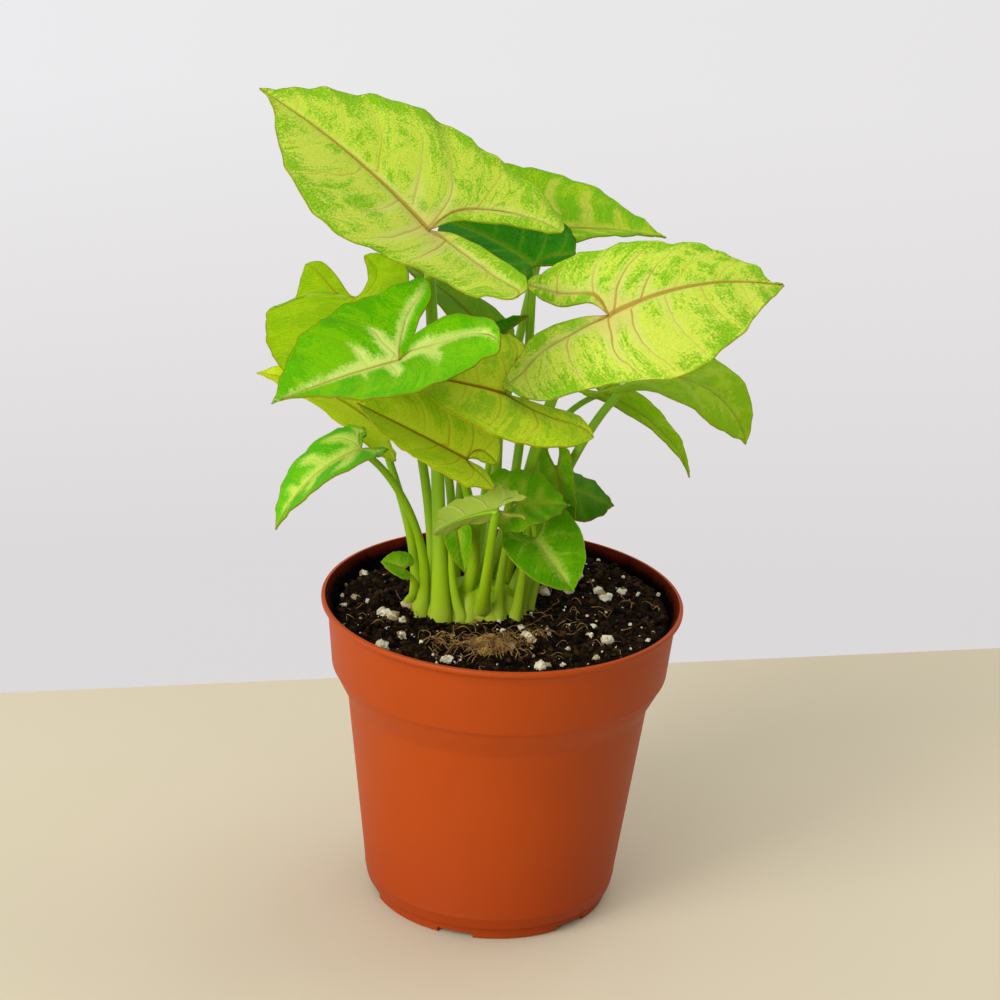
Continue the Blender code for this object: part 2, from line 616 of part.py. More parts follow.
def main():
    clear_scene()
    plant = collection("potted_syngonium")
    pot_cutters = collection("pot_cutters", hidden=True)
    soil_cutters = collection("soil_cutters", hidden=True)
    stalks = collection("stalks", hidden=True)
    build_pot(plant, pot_cutters)
    build_soil(plant, soil_cutters)
    finishes = {
        tone: material(f"blade_{tone}", colour, 0.45) for tone, colour in BLADE_COLOURS.items()
    }
    for leaf in LEAVES:
        build_leaf(leaf, plant, stalks, finishes)


main()
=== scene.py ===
"""The looks of the potted arrowhead vine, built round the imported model."""

import math
import random
from contextlib import contextmanager
from dataclasses import dataclass, replace
from functools import partial

import bpy
import numpy as np
from mathutils import Matrix, Vector, noise


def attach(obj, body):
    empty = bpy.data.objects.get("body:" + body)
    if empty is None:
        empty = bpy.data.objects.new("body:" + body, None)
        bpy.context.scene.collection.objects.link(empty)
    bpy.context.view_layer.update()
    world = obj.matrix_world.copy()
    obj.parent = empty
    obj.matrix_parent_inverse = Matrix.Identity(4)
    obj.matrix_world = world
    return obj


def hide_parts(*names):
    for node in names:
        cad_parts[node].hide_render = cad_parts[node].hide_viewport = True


MM = 0.001

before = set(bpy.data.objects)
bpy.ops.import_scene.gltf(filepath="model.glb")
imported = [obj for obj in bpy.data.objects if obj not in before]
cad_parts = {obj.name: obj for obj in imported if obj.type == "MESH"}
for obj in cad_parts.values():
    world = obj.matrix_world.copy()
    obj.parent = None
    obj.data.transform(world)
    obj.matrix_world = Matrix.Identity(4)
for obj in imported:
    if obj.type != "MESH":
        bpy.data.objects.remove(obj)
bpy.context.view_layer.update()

# ---- The photograph's camera, in mm and radians
CAMERA_PLACE = (0.0, -820.8, 452.7)
CAMERA_TURN = -0.0026288
CAMERA_DIP = 0.3778142
CAMERA_ROLL = 0.0490872
CAMERA_LENS = 108.0
SENSOR = 36.0

# ---- The table and the light, in metres and watts
TABLE_HALF = 1.5
TABLE_END = 0.1545
TABLE_SLANT = 0.2263  # of its far edge
LIGHT_WAY = (-0.8, -0.15, 0.58)  # the side on which the surroundings are brightest
AMBIENT_DARK = 0.5
AMBIENT_BRIGHT = 0.88
LAMP_AIM = (0, 0, 0.13)
LAMPS = (
    # name, place, size and power
    ("key", (-0.9, -0.8, 0.9), 0.6, 10.0),
    ("front", (-0.75, -1.1, 0.4), 0.7, 8.5),
    ("back", (0.55, 0.45, 1.05), 1.0, 4.6),
)

# ---- The pot, in mm and degrees
POT_HEIGHT = 96.0
RIM_RADIUS = 54.0
WALL = 1.4
BAND_TOP = 92.0
BAND_BOTTOM = 74.5
SHOULDER_BOTTOM = 64.5
BODY_TOP_RADIUS = 45.2
BODY_BOTTOM_RADIUS = 37.8
FOOT_RADIUS = 36.0
FOOT_HEIGHT = 4.0
FLOOR_UNDERSIDE = 3.2
FLOOR_TOP = 5.0
MIDDLE_PAD_RADIUS = 12.0
NOTCHES = 6
NOTCH_WIDTH = 11.0
NOTCH_HEIGHT = 1.6
NOTCH_DEPTH = 6.0
FIRST_NOTCH_ANGLE = -105.0
DRAIN_RADIUS = 3.5
DRAIN_CIRCLE = 24.0
DRAIN_SIDES = 24
POT_STEPS = 144

# ---- The soil, in mm
SOIL_EDGE = 92.0
SOIL_HOLLOW = 1.5
HOLLOW_CENTRE = (-10.0, 2.0)
HOLLOW_SPREAD = 20.0
SOIL_RADIUS = 49.9
BED_POINTS = 150  # along each side of the sheet that is drawn to a disc
BED_DEPTH = 30.0
BED_FOOT_SHARE = 0.86  # of the bed's radius at its foot, in the narrower pot
SOIL_LUMPS = (
    # middle x and y, radius and height
    (-2.0, -31.0, 9.0, 2.4),
    (11.0, -22.0, 5.0, 1.8),
    (-36.0, 3.0, 5.0, 2.6),
    (-33.0, -22.0, 4.0, 1.8),
    (-12.0, -30.0, 3.5, 1.6),
    (24.0, 20.0, 5.0, 2.0),
    (34.0, -8.0, 4.0, 1.6),
)

# ---- What lies on the soil, in mm
CRUMBS = 6500
CRUMB_SHAPES = 6
PERLITE_GRAINS = 260
PERLITE_SHAPES = 5
PERLITE_REACH = 48.0
FIBRE_REACH = 47.0
FIBRE_RADIUS = 0.1
FIBRE_POINTS = 7

# ---- Blades and stalks, in mm; places on a half's outline are counted in corners from the tip
BLADE_THICKNESS = 0.45
STALK_FOOT = 79.3
STALK_RISE = 93.0
STALK_SIDES = 14
STALK_POINTS = 36
MIDRIB_POINTS = 22
MIDRIB_RUN = (0.05, 0.9)  # from and to which share of the blade's length it stands out below
FLARE_TOP = 122.0
FLARE_HEIGHT = 32.0
FLARE_SHARE = 0.5
GROOVE_SHARE = 0.10  # of the radius, along a stalk's inner side
GROOVE_START = 108.0
GROOVE_FADE = 30.0
WIDEST = 4.4
LOBE_END = 8
SINUS_END = 12
VEIN_SLANT = 1.0
LOBE_VEIN_SHARE = 0.36  # how far the lobe's main vein lies from the notch
VEIN_SHIFT = 1 / 3  # of the left half's side veins, so that pairs don't meet
STRAND_ARCH = 0.11
ROWS_PER_VEIN = 6
POINT_SPACING = 1.6
NEAR = 0.02  # the step by which a strand's spacing is measured, in side veins

# ---- The swelling at the stalks' feet, in mm
CROWN_CENTRE = (-9.5, 1.0)
CROWN_HALF = (18.0, 9.5)
CROWN_FOOT = 86.0
CROWN_RISE = 14.0
CROWN_SKIRT = 0.2  # the share of its rows that close it below
CROWN_COLUMNS = 96
CROWN_ROWS = 24
CROWN_PLEATS = (11, 19)  # around it, deep ones and shallow ones


@dataclass
class Leaf:
    """One leaf. Lengths in mm, angles in degrees; a pair is the right half, then the left half."""

    name: str
    look: str
    slot: str
    junction: tuple
    heading: float
    rise: float
    roll: float
    length: float
    width: tuple
    lobe: tuple
    foot: tuple
    lower_bend: tuple
    upper_bend: tuple
    stalk: tuple
    lobe_spread: tuple = (0.6, 0.6)
    sinus: tuple = (0.25, 0.25)
    cup: tuple = (14, 14)
    droop: float = 15
    lobe_droop: float = 12
    curl: float = 14
    twist: float = 0
    sway: float = 0
    fullness: float = 0.6
    waves: tuple = (0.0, 3.0, 0.0)
    outline: tuple = ()  # for an uneven blade: eleven points a half, tip to notch, as (out, along)
    veins: int = 4
    ripple: float = 0.4  # of the margin
    quilt: float = 0.15  # how far the blade is puffed up between its veins

    @property
    def lobe_veins(self):
        """Side veins on a lobe, beyond those of the blade."""
        return max(2, self.veins // 2)


LEAVES = (
    Leaf("leaf_top_left", "lime", "blade_pale", (-26, -2, 209), 148, 36, 14, 65, (33, 33), (38, 38),
         foot=(-18, -8), lower_bend=(-20, -9, 133), upper_bend=(-25, 0, 198), stalk=(2.3, 1.5),
         cup=(10, 10), droop=9, lobe_droop=-43, curl=6, sway=-13.5, waves=(0.8, 4, 40), veins=6,
         quilt=0.4, ripple=0.9,
         outline=(((3, 62), (11.5, 55.5), (20.5, 45), (29, 32), (33.5, 17), (36, 2.5), (36.5, -14),
                   (29, -26), (24, -21), (19, -11.5), (9.5, -2.5)),
                  ((3, 58.5), (17.5, 44), (28.5, 27), (29, 11), (20.5, -2.5), (14.5, -16.5), (14, -33),
                   (10.5, -41.5), (-4.5, -31.5), (-7.5, -18.5), (-6, -6.5)))),
    Leaf("leaf_right", "lime_painted_light", "blade_pale", (26, -10, 189), 8.5, 30.5, -34, 52.5, (28, 28), (32, 32),
         foot=(-1, 7), lower_bend=(4, 3, 125), upper_bend=(12, -4, 184), stalk=(2.1, 1.4),
         cup=(3.5, 3.5), droop=41, lobe_droop=-5, curl=10.5, sway=17, waves=(0.6, 4, 0), veins=6,
         quilt=0.35, ripple=0.7,
         outline=(((8, 44.5), (18, 33.5), (27, 20), (28.5, 6), (21.5, -6.5), (19.5, -19), (16.5, -30.5),
                   (9.5, -35.5), (3, -30.5), (-4.5, -20.5), (-4, -8.5)),
                  ((1, 49), (8, 44), (13.5, 35), (18, 24.5), (21.5, 12.5), (23.5, 1), (25, -10),
                   (22.5, -16.5), (16.5, -15.5), (10, -11), (6.5, -3)))),
    Leaf("leaf_front_left", "cream_veined", "blade_green", (-32, -32, 180), 207, -8, 10.5, 39.5,
         (26, 26), (27, 27),
         foot=(-20.5, -1), lower_bend=(-21, 8, 124), upper_bend=(-33, 4, 171), stalk=(1.6, 1.2),
         cup=(18.5, 18.5), droop=5, lobe_droop=-36, curl=11.5, sway=-7, waves=(0.5, 4, 60), veins=5,
         quilt=0.25, ripple=0.5,
         outline=(((2.5, 37), (10.5, 30.5), (18, 23), (22, 14.5), (26.5, 5), (26, -5), (25.5, -16.5),
                   (21.5, -22), (15, -19.5), (11, -12.5), (4, -5.5)),
                  ((0.5, 36), (7.5, 29), (17.5, 23), (22.5, 15), (25.5, 7), (24.5, -4), (22.5, -16.5),
                   (25, -24), (11.5, -28.5), (-4.5, -22.5), (-7, -9)))),
    Leaf("leaf_back_right", "patched", "blade_pale", (8.3, 45, 197.3), 19, 0, -13, 39, (12, 28), (7, 19),
         foot=(-10, 12), lower_bend=(-4, 44, 133), upper_bend=(6, 70, 188), stalk=(1.6, 1.2),
         cup=(14, 18), lobe_droop=11, curl=9, twist=16, waves=(0.6, 4, 0), veins=5, quilt=0.25),
    Leaf("leaf_back_middle", "dark", "blade_dark", (4.5, 19, 193.5), 151, 24.5, 12.5, 35.5,
         (20, 20), (16, 16),
         foot=(-6, 7), lower_bend=(6, 14, 123), upper_bend=(4, 14, 186), stalk=(1.6, 1.2),
         cup=(15, 15), droop=27, lobe_droop=7, curl=10, sway=2.5,
         outline=(((4, 32), (9, 27), (14, 21), (18, 15), (20, 9), (20, 4), (17.5, -1.5),
                   (12.5, -5.5), (8, -5.5), (4.5, -4), (2, -2)),
                  ((6, 31.5), (13.5, 25), (17.5, 19), (17.5, 13), (16.5, 7.5), (15, 3), (14, -1),
                   (13, -4.5), (9.5, -4), (5.5, -3), (2.5, -1)))),
    Leaf("leaf_far_left", "dull", "blade_dull", (-47, 12, 183.5), 233, -40, 6, 30.5, (20, 20), (15, 15),
         foot=(-20, 6), lower_bend=(-7, 15, 122), upper_bend=(-31, 11, 178), stalk=(1.5, 1.1),
         cup=(18.5, 18.5), droop=0, lobe_droop=-5, curl=14, sway=21.5, ripple=0.3,
         outline=(((6.5, 28), (12, 24.5), (17, 19.5), (19.5, 15), (17, 12), (15.5, 8), (17.5, 3),
                   (19, -2.5), (15.5, -5.5), (9, -3.5), (2.5, 0)),
                  ((9, 31), (14.5, 24), (17, 13), (18.5, 2), (16, -7.5), (9.5, -13.5), (0, -15.5),
                   (-5.5, -13), (-3, -10), (0, -6.5), (1, -2)))),
    Leaf("leaf_low_left", "cream_midrib", "blade_green", (-42, -26, 151), 201, -15, -1, 35, (15, 14), (4, 5),
         foot=(-24, -4), lower_bend=(-20, -5, 113), upper_bend=(-32, -22, 143), stalk=(1.5, 1.0),
         lobe_spread=(0.66, 0.67), cup=(11, 14), droop=54, lobe_droop=9, curl=10, fullness=0.5),
    Leaf("leaf_under_left", "lime_small", "blade_pale", (-36, 6, 143), 171, 42, 1, 44, (19, 18), (5, 5),
         foot=(-26, 5), lower_bend=(-25, 6, 111), upper_bend=(-37, 6, 137), stalk=(1.5, 1.1),
         cup=(18, 13), droop=42, twist=3, fullness=0.7, waves=(0.4, 4, 0)),
    Leaf("leaf_centre_low", "red_veined_painted_light", "blade_dull", (-12, -28, 150), 174, 25, 13, 35, (19, 19), (14, 14),
         foot=(-14, -2), lower_bend=(-1, -6, 113), upper_bend=(-17, -18, 146), stalk=(1.8, 1.2),
         cup=(16.5, 16.5), droop=8.5, lobe_droop=8, curl=9.5, sway=7.5, waves=(0.4, 3, 0), quilt=0.25,
         outline=(((5.5, 30), (12, 24), (17, 18), (20, 11), (20, 3.5), (17.5, -2.5), (11.5, -6.5),
                   (4.5, -8), (2.5, -6), (2, -3.5), (1.5, -1.5)),
                  ((9, 27.5), (13, 22), (15, 17), (17, 10.5), (17, 4), (16.5, -2), (13.5, -6),
                   (9.5, -10), (3, -8), (0, -5), (0, -2)))),
    Leaf("leaf_centre", "red_veined", "blade_dull", (-2, -19, 167), 193, 18, 21, 30, (23, 22), (6, 24),
         foot=(-8, 0), lower_bend=(-1, 0, 116), upper_bend=(-5, -3, 159), stalk=(1.8, 1.3),
         cup=(16, 11), droop=12, lobe_droop=-6, waves=(0.4, 3, 90), quilt=0.3,
         outline=(((2.5, 28), (10, 24.5), (17, 18), (21.5, 10), (23, 2), (24, -2), (22, -4.5),
                   (18.5, -6), (13, -5.5), (10, -3.5), (3, -1.5)),
                  ((2.5, 28), (9.5, 24.5), (16, 18), (20.5, 10), (22, 2), (21.5, -8), (18.5, -18.5),
                   (12, -25), (2.5, -22.5), (1, -14), (0, -6)))),
    Leaf("leaf_back_left", "olive", "blade_dark", (-10, 17, 175), 146, 31, -9, 33, (13, 14), (9, 9),
         foot=(-15, 5), lower_bend=(-14, 7, 121), upper_bend=(-14, 18, 168), stalk=(1.5, 1.0),
         cup=(11, 14), droop=14, curl=15, sway=2),
    Leaf("leaf_drooping_right", "drooping", "blade_green", (36, 10, 163), 2, 20, 5, 43, (20, 19), (13, 13),
         foot=(2, 1), lower_bend=(9, 4, 116), upper_bend=(25, 12, 160), stalk=(1.7, 1.2),
         cup=(13, 8), droop=97, curl=15, twist=-40, fullness=1.1, waves=(0.5, 3, 0), quilt=0.3),
    Leaf("leaf_narrow_right", "drooping", "blade_green", (26, 26, 153), -7, -17, -28, 43, (6, 5), (7, 7),
         foot=(4, 7), lower_bend=(9, 11, 111), upper_bend=(2, 27, 141), stalk=(1.4, 0.9),
         cup=(33, 34), droop=61, sway=2, waves=(0.3, 3, 0)),
    Leaf("leaf_small_right", "dark_small", "blade_dark", (17, 22, 124), 3, -16, -22, 17, (13, 10), (5, 5),
         foot=(8, 2), lower_bend=(11, 5, 106), upper_bend=(14, 17, 121), stalk=(1.3, 0.8),
         cup=(0, -3), droop=16, curl=17, sway=-3, fullness=0.7, waves=(0.4, 4, 0), ripple=0.35),
    Leaf("leaf_folded", "fresh", "blade_green", (14, 4, 136), -73, -58, -28, 17, (5, 6), (8, 8),
         foot=(5.5, -1.5), lower_bend=(8, -3, 106), upper_bend=(11, 10, 140), stalk=(1.3, 0.8),
         cup=(36, 35), droop=29, sway=-17, ripple=0.25),
    Leaf("leaf_wavy", "fresh", "blade_green", (3, -15, 132), 4, 5, -32, 15, (11, 12), (7, 9),
         foot=(-1, -6), lower_bend=(-2, -5, 101), upper_bend=(2, -3, 130), stalk=(1.3, 0.8),
         cup=(18, 15), droop=16, twist=13, fullness=0.2, waves=(1.1, 3, 90), ripple=0.6),
    Leaf("leaf_curled", "curled", "blade_pale", (-3, -30, 136), 183, -9, -78, 21, (7, 6), (8, 8),
         foot=(-6, -6), lower_bend=(-5, -16, 104), upper_bend=(-4, -29, 131), stalk=(1.8, 1.1),
         cup=(5, 29), droop=46, lobe_droop=27, curl=-60, sway=3, fullness=0.8, ripple=0.6,
         waves=(1.5, 4, 30)),
    Leaf("leaf_heart", "heart", "blade_green", (9, -14, 121), -38, -37, -17, 19, (12, 13), (7, 9),
         foot=(4, -5), lower_bend=(6, -5, 101), upper_bend=(7, -5, 137), stalk=(1.3, 0.8),
         cup=(13, 16), droop=16, lobe_droop=10, curl=10, twist=-5, sway=-4, ripple=0.15),
    Leaf("leaf_spike", "dark", "blade_dark", (-6, 6, 176), 25, 33, -22, 12, (3, 3), (2, 2),
         foot=(-10, 6), lower_bend=(-9, 7, 120), upper_bend=(0, 9, 170), stalk=(1.1, 0.7),
         cup=(35, 35), droop=20, fullness=0.0, veins=2),
    Leaf("leaf_tiny", "fresh", "blade_green", (-29, -8, 107), 183, 25, 21, 7.5, (6, 5), (2, 2),
         foot=(-28, 0), lower_bend=(-27, -2, 96), upper_bend=(-23, -8, 102), stalk=(1.1, 0.7),
         droop=22, fullness=0.7, veins=3, ripple=0.15),
    Leaf("leaf_unfurling", "fresh", "blade_green", (-14, -15, 123), -62, -63, -9, 13, (5, 4), (1.5, 1.5),
         foot=(-12, -8), lower_bend=(-17, -8, 103), upper_bend=(-16, -10, 131), stalk=(1.2, 0.7),
         cup=(19, 20), droop=23, sway=-6, fullness=0.0, veins=3, ripple=0.15),
)


# ---- Shader sums and nodes

class Value:
    """A socket that can be added, taken away and multiplied, which adds Math nodes."""

    def __init__(self, nodes, socket):
        self.nodes = nodes
        self.socket = socket

    def maths(self, operation, *others):
        inputs = dict(enumerate((self, *others)))
        return self.nodes.node("ShaderNodeMath", {"operation": operation}, inputs)

    def __add__(self, other):
        return self.maths("ADD", other)

    def __sub__(self, other):
        return self.maths("SUBTRACT", other)

    def __rsub__(self, other):
        return self.nodes.node("ShaderNodeMath", {"operation": "SUBTRACT"}, {0: other, 1: self})

    def __mul__(self, other):
        return self.maths("MULTIPLY", other)

    def __neg__(self):
        return self * -1.0

    __radd__ = __add__
    __rmul__ = __mul__


class Nodes:
    """A shader's nodes and the ways to add to them."""

    def __init__(self, tree):
        self.tree = tree

    def node(self, kind, settings=None, inputs=None, out=0):
        made = self.tree.nodes.new(kind)
        for key, value in (settings or {}).items():
            setattr(made, key, value)
        for key, value in (inputs or {}).items():
            self.put(value, made.inputs[key])
        return Value(self, made.outputs[out])

    def put(self, value, socket):
        """Links a value to a socket, or sets a number or colour on it."""
        if isinstance(value, Value):
            self.tree.links.new(value.socket, socket)
        elif isinstance(value, tuple) and socket.type == "RGBA":
            socket.default_value = (*value, 1.0)
        else:
            socket.default_value = value

    def place(self):
        """Object coordinates, in mm."""
        at = self.node("ShaderNodeTexCoord", out="Object")
        return self.node("ShaderNodeVectorMath", {"operation": "SCALE"}, {0: at, "Scale": 1 / MM})

    def split(self, vector):
        """The three numbers of a vector."""
        split = self.node("ShaderNodeSeparateXYZ", inputs={0: vector}).socket.node
        return [Value(self, socket) for socket in split.outputs]

    def height(self):
        return self.split(self.place())[2]

    def attribute(self, name, out="Fac"):
        return self.node("ShaderNodeAttribute", {"attribute_name": name}, out=out)

    def noise(self, scale, detail=4.0, roughness=0.6, at=None):
        inputs = {"Vector": at or self.place(), "Scale": scale, "Detail": detail, "Roughness": roughness}
        return self.node("ShaderNodeTexNoise", inputs=inputs)

    def step(self, value, low, high, smooth=True):
        """0 where value is below low, 1 where it is above high, or the other way round."""
        kind = "SMOOTHSTEP" if smooth else "LINEAR"
        inputs = {"Value": value, "From Min": low, "From Max": high}
        return self.node("ShaderNodeMapRange", {"interpolation_type": kind}, inputs)

    def mix(self, factor, below, above):
        return self.node("ShaderNodeMix", {"data_type": "RGBA"}, {0: factor, 6: below, 7: above}, out=2)


class Finish(Nodes):
    """One material."""

    def __init__(self, name, roughness=0.5, **constants):
        self.material = bpy.data.materials.new(name)
        self.material.use_nodes = True
        super().__init__(self.material.node_tree)
        self.shader = self.tree.nodes["Principled BSDF"]
        self.set(Roughness=roughness, **constants)

    def set(self, **inputs):
        for socket, value in inputs.items():
            self.put(value, self.shader.inputs[socket.replace("_", " ")])

    def bump(self, height, distance, strength):
        """Shading alone, the distance in mm."""
        inputs = {"Height": height, "Distance": distance * MM, "Strength": strength}
        self.set(Normal=self.node("ShaderNodeBump", inputs=inputs))

    def see_through(self, colour, share):
        """Lets some of the light that falls on the far side come through."""
        surface = Value(self, self.shader.outputs[0])
        shine = self.node("ShaderNodeBsdfTranslucent", inputs={0: colour})
        both = self.node("ShaderNodeMixShader", inputs={0: share, 1: surface, 2: shine})
        self.put(both, self.tree.nodes["Material Output"].inputs[0])


def tone(red, green, blue):
    """A colour given as it looks on a screen, 0 to 255, made linear."""
    return tuple((part / 255) ** 2.2 for part in (red, green, blue))


def blend(first, second):
    """Three parts of one colour and two of another."""
    return tuple(0.6 * a + 0.4 * b for a, b in zip(first, second))


@dataclass
class Look:
    """A blade's colours and pattern. Lengths in mm, shares from 0 to 1."""

    pale: tuple
    green: tuple
    cover: float = 0.5  # how much of the blade the green speckle takes
    edge_green: float = 0.3  # more of it near the margin
    speckle: float = 0.3
    vein: tuple = tone(172, 120, 34)
    midrib: float = 0.8  # how strongly each kind of vein shows in its own colour
    side: float = 0.55
    fine: float = 0.2
    rib_width: float = 0.5
    halo: tuple = tone(226, 230, 130)
    halo_width: float = 0.0  # of the pale band either side of a vein
    halo_reach: float = 60.0  # how far from the junction it runs
    halo_share: float = 0.85
    side_reach: float = 60.0  # and how far it runs beside the side veins
    margin_line: float = 0.0
    rim: tuple = tone(150, 105, 30)
    rough: float = 0.5
    through: float = 0.3
    painted_light_half: float = 0.0  # painted light: paler ground and fewer specks on one half, to lift the half turned from the lamps: the right if above 0, else the left
    blush: float = 0.0  # of pink round the junction


LIME = Look(tone(224, 234, 84), tone(108, 184, 4), cover=0.38, painted_light_half=-0.15, blush=0.6, side=0.85,
            fine=0.4, rib_width=0.75, vein=tone(184, 128, 42), halo=tone(230, 226, 134), halo_width=1.7,
            halo_reach=40.0, halo_share=0.7, side_reach=34.0, margin_line=0.3, edge_green=0.4, through=0.45)
# painted shade: darker colours and faint veins, for leaves that sit in the shade of the blades above them
DARK = Look(tone(64, 148, 6), tone(44, 124, 4), side=0.05, midrib=0.2, fine=0.05,
            halo=tone(130, 184, 40), halo_width=0.5, side_reach=2.0)
RED_VEINED = Look(tone(222, 232, 48), tone(148, 200, 18), cover=0.42, vein=tone(168, 96, 24), midrib=0.95,
                  side=0.5, edge_green=0.2, through=0.35)
LOOKS = {
    "lime": LIME,
    # painted light: a brighter copy of lime, with its paler half on the right, for the leaf whose near half
    # is turned from the lamps
    "lime_painted_light": replace(LIME, pale=tone(228, 238, 88), green=tone(112, 188, 6), painted_light_half=0.15, blush=0.75,
                        vein=tone(190, 124, 48)),
    # painted light: raised colours, for the small leaf that lies in the shade of the blades above it
    "lime_small": Look(tone(246, 252, 76), tone(196, 234, 24), cover=0.42, midrib=0.9,
                       vein=tone(206, 140, 50), through=0.6),
    "cream_veined": Look(tone(128, 192, 14), tone(88, 172, 6), cover=0.4, halo=tone(222, 236, 124),
                         halo_width=2.5, halo_reach=40.0, side_reach=22.0, side=0.15,
                         midrib=0.7, fine=0.0, rib_width=0.3),
    "cream_midrib": Look(tone(120, 194, 22), tone(84, 176, 14), halo=tone(208, 228, 96), halo_width=2.4,
                         halo_reach=40.0, side=0.1, midrib=0.5, rib_width=0.3),
    "patched": Look(tone(200, 228, 28), tone(116, 194, 0), halo=tone(236, 236, 96),
                    halo_width=1.6, halo_reach=45.0, side=0.4, midrib=0.6, fine=0.3, through=0.45),
    "dark": DARK,
    # painted shade, less dark: the small leaf's copy of the dark look
    "dark_small": replace(DARK, pale=tone(96, 152, 8), green=tone(70, 128, 4)),
    "olive": Look(tone(170, 206, 50), tone(128, 184, 26), side=0.3, midrib=0.7, vein=tone(150, 106, 40),
                  through=0.45),
    "dull": Look(tone(168, 200, 20), tone(138, 182, 10), cover=0.45, side=0.12, midrib=0.3, fine=0.1,
                 through=0.4),
    "red_veined": RED_VEINED,
    # painted light: a brighter copy of the red-veined look, for the lower leaf, which lies in shade
    "red_veined_painted_light": replace(RED_VEINED, pale=tone(240, 248, 56), green=tone(168, 214, 20), through=0.4),
    "fresh": Look(tone(132, 186, 26), tone(96, 166, 14), halo=tone(176, 206, 60), halo_width=0.7,
                  side=0.05, midrib=0.15, fine=0.08, rim=tone(150, 150, 40)),
    # painted light: raised colours, for the drooping leaves, which face away from the lamps
    "drooping": Look(tone(206, 230, 58), tone(148, 200, 24), halo=tone(216, 226, 110), halo_width=0.8,
                     halo_share=0.5, side=0.15, midrib=0.25, fine=0.1, through=0.55),
    "heart": Look(tone(114, 174, 14), tone(84, 152, 6), halo_width=1.0, side_reach=2.0, side=0.02,
                  midrib=0.1, fine=0.02, halo=tone(190, 212, 84), rim=tone(150, 170, 50)),
    "curled": Look(tone(186, 206, 74), tone(150, 186, 44), side=0.1, midrib=0.1, rough=0.6),
}


